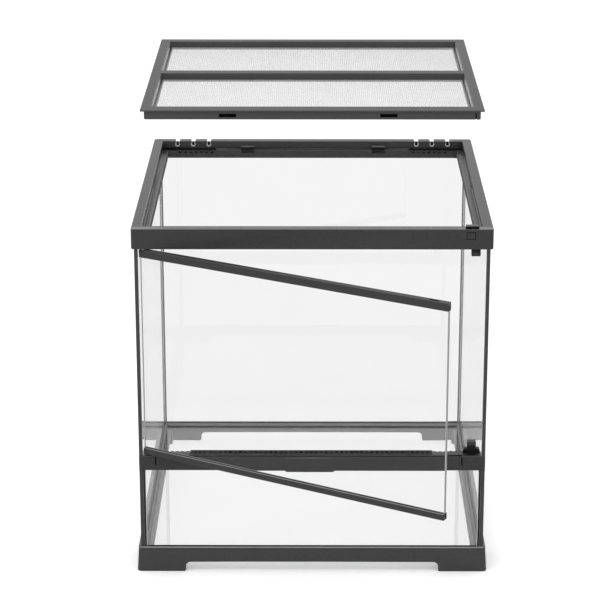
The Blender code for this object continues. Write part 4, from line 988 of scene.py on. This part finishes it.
def wire_cloth(name, low, high, pitch, radius, body, slot, material, replaced=()):
    """Crossing wires over the box from low to high, at its middle height."""
    across = (high.x - low.x, high.y - low.y)
    counts = [int(size / pitch) // 2 * 2 for size in across]
    start = Vector([low[axis] + (across[axis] - (counts[axis] - 1) * pitch) / 2 for axis in (0, 1)])
    height = (low.z + high.z) / 2
    for along, run, rows, phase in (("X", 0, 1, 1), ("Y", 1, 0, -1)):
        bm = bmesh.new()
        for row in (0, 1):
            place = [start.x, start.y, height]
            place[rows] += row * pitch
            crimped_wire(bm, place, along, counts[run], pitch, radius, phase * (1 if row == 0 else -1))
        bmesh.ops.holes_fill(bm, edges=[edge for edge in bm.edges if edge.is_boundary])
        bmesh.ops.recalc_face_normals(bm, faces=bm.faces)
        piece = add_piece(bm, f"{name}_{along.lower()}_wires", body, [material], replaced)
        repeat = piece.modifiers.new("rows", "ARRAY")
        repeat.use_relative_offset = False
        repeat.use_constant_offset = True
        offset = [0, 0, 0]
        offset[rows] = 2 * pitch
        repeat.constant_offset_displace = offset
        repeat.count = counts[rows] // 2
        print("  wires:", counts[rows], "of", counts[run], "crossings")


# %% [markdown]
# ## The lid's two screens
# Each screen is a sheet of cloth in a rolled metal hem, which lies on the lip
# under the window. The hem is one flat plate: it is inset, its middle is taken
# out, and what is left gets its thickness and round edges. At the left and
# right it is folded up along the wall of the lid, where it shows as a light
# strip.

# %% Lid screens
WIRE_PITCH = 2.5 * MM
WIRE_RADIUS = 0.15 * MM
HEM_WIDTH = 3.6 * MM
HEM_RADIUS = 0.3 * MM
STRIP_HALF = 0.1 * MM
STRIP_DROP = 1.5 * MM  # below the lid's top face


def rolled_hem(node):
    """A flat metal frame round a window, with a strip folded up at each side."""
    low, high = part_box(node)
    size = (high.x - low.x - 0.2 * MM, high.y - low.y - 0.2 * MM)
    place = Matrix.Translation(((low.x + high.x) / 2, (low.y + high.y) / 2, low.z + 0.05 * MM))
    bm = bmesh.new()
    place = place @ Matrix.Diagonal((*size, 1, 1))
    bmesh.ops.create_grid(bm, x_segments=1, y_segments=1, size=0.5, matrix=place)
    plate = bm.faces[:]
    bmesh.ops.inset_region(bm, faces=plate, thickness=HEM_WIDTH, use_even_offset=True)
    bmesh.ops.delete(bm, geom=plate, context="FACES_ONLY")
    bmesh.ops.solidify(bm, geom=bm.faces[:], thickness=-(high.z - low.z - 0.1 * MM))
    bmesh.ops.recalc_face_normals(bm, faces=bm.faces)
    bevel_edges(bm, sharp_edges(bm), HEM_RADIUS, clamped=True)
    lid_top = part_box("lid_frame")[1].z
    for side in (low.x - STRIP_HALF, high.x + STRIP_HALF):
        strip_low = (side - STRIP_HALF, low.y + MM, high.z + 0.05 * MM)
        strip_high = (side + STRIP_HALF, high.y - MM, lid_top - STRIP_DROP)
        add_block(bm, strip_low, strip_high, 0.05 * MM)
    add_piece(bm, f"{node}_hem", "lid", [hem_metal], (node,))


for node in ("lid_mesh_front", "lid_mesh_rear"):
    rolled_hem(node)
    wire_cloth(node, *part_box(node), WIRE_PITCH, WIRE_RADIUS, "lid", "lid_mesh", wire_metal, (node,))

# %% [markdown]
# ## Vent grille and its insect screen
# The grille in the vent bar takes the matt grey of the deck round it, so that
# it stays dark even at a low angle. Behind such slots there is a fine black
# cloth that keeps insects in, and it closes them to the eye.

# %% Grille and insect screen
GRILLE_MIDDLE_Y = -107.4  # in millimetres
SCREEN_PITCH = 1.0 * MM
SCREEN_WIRE = 0.29 * MM  # radius
grille = welded_copy("vent_grille", cut_at((), (GRILLE_MIDDLE_Y,)))
soften(grille, sharp_edges(grille, 5 * MM), 0.2 * MM, highlight_index=0)
add_look(grille, "vent_grille", "tank", "black_plastic", deck_plastic)

low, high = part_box("vent_grille")
screen_low = Vector((low.x + 1 * MM, low.y + 0.6 * MM, low.z - 1.3 * MM))
screen_high = Vector((high.x - 1 * MM, high.y - 0.6 * MM, low.z - 0.1 * MM))
screen_parts = ("tank", "black_plastic", matt_black_and_shade)
wire_cloth("vent_screen", screen_low, screen_high, SCREEN_PITCH, SCREEN_WIRE, *screen_parts)

# %% [markdown]
# ## Pockets behind the lid's slots
# The clips of the top frame fit into slots in the lid's skirt. Behind each slot,
# and behind the notch at the right, the lid has a small closed pocket, so the
# slot looks black and nothing shows through it. A pocket is a box that loses
# the face at its mouth and gets a wall.

# %% Lid pockets
POCKET_DEPTH = 3.0 * MM
POCKET_WALL = 0.6 * MM
POCKET_WIDTH = 24.0 * MM
POCKET_TOP = 4.4 * MM  # both below the lid's top face
POCKET_BOTTOM = 11.3 * MM
SKIRT_INSIDE = 6.4 * MM  # the skirt's inner face, from the edge of the lid
FRONT_SLOTS = (-105.6 * MM, 95.3 * MM)
REAR_SLOTS = (-93.0 * MM, 94.7 * MM)
NOTCH_INSET = 10.5 * MM  # from the right edge of the lid
NOTCH_POCKET_WIDTH = 5 * MM


def add_pocket(bm, x, width, z, mouth, depth):
    """A pocket from the plane y = mouth, depth deep towards +Y, or towards -Y if it is negative."""
    size = (width, abs(depth), z[1] - z[0])
    centre = (x, mouth + depth / 2, (z[0] + z[1]) / 2)
    place = Matrix.Translation(centre) @ Matrix.Diagonal((*size, 1))
    made = bmesh.ops.create_cube(bm, size=1, matrix=place)
    faces = list({face for vert in made["verts"] for face in vert.link_faces})
    opening = [face for face in faces if abs(face.calc_center_median().y - mouth) < 0.01 * MM]
    bmesh.ops.delete(bm, geom=opening, context="FACES_ONLY")
    walls = [face for face in faces if face.is_valid]
    bmesh.ops.solidify(bm, geom=walls, thickness=POCKET_WALL)


lid_low, lid_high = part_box("lid_frame")
front_mouth = lid_low.y + SKIRT_INSIDE
rear_mouth = lid_high.y - SKIRT_INSIDE
slot_z = (lid_high.z - POCKET_BOTTOM, lid_high.z - POCKET_TOP)
notch_z = (lid_low.z + 0.2 * MM, lid_high.z - 4 * MM)
pockets = bmesh.new()
for x in FRONT_SLOTS:
    add_pocket(pockets, x, POCKET_WIDTH, slot_z, front_mouth, POCKET_DEPTH)
for x in REAR_SLOTS:
    add_pocket(pockets, x, POCKET_WIDTH, slot_z, rear_mouth, -POCKET_DEPTH)
add_pocket(pockets, lid_high.x - NOTCH_INSET, NOTCH_POCKET_WIDTH, notch_z, front_mouth, POCKET_DEPTH)
bmesh.ops.recalc_face_normals(pockets, faces=pockets.faces)
add_piece(pockets, "lid_slot_pockets", "lid", [matt_black_and_shade])
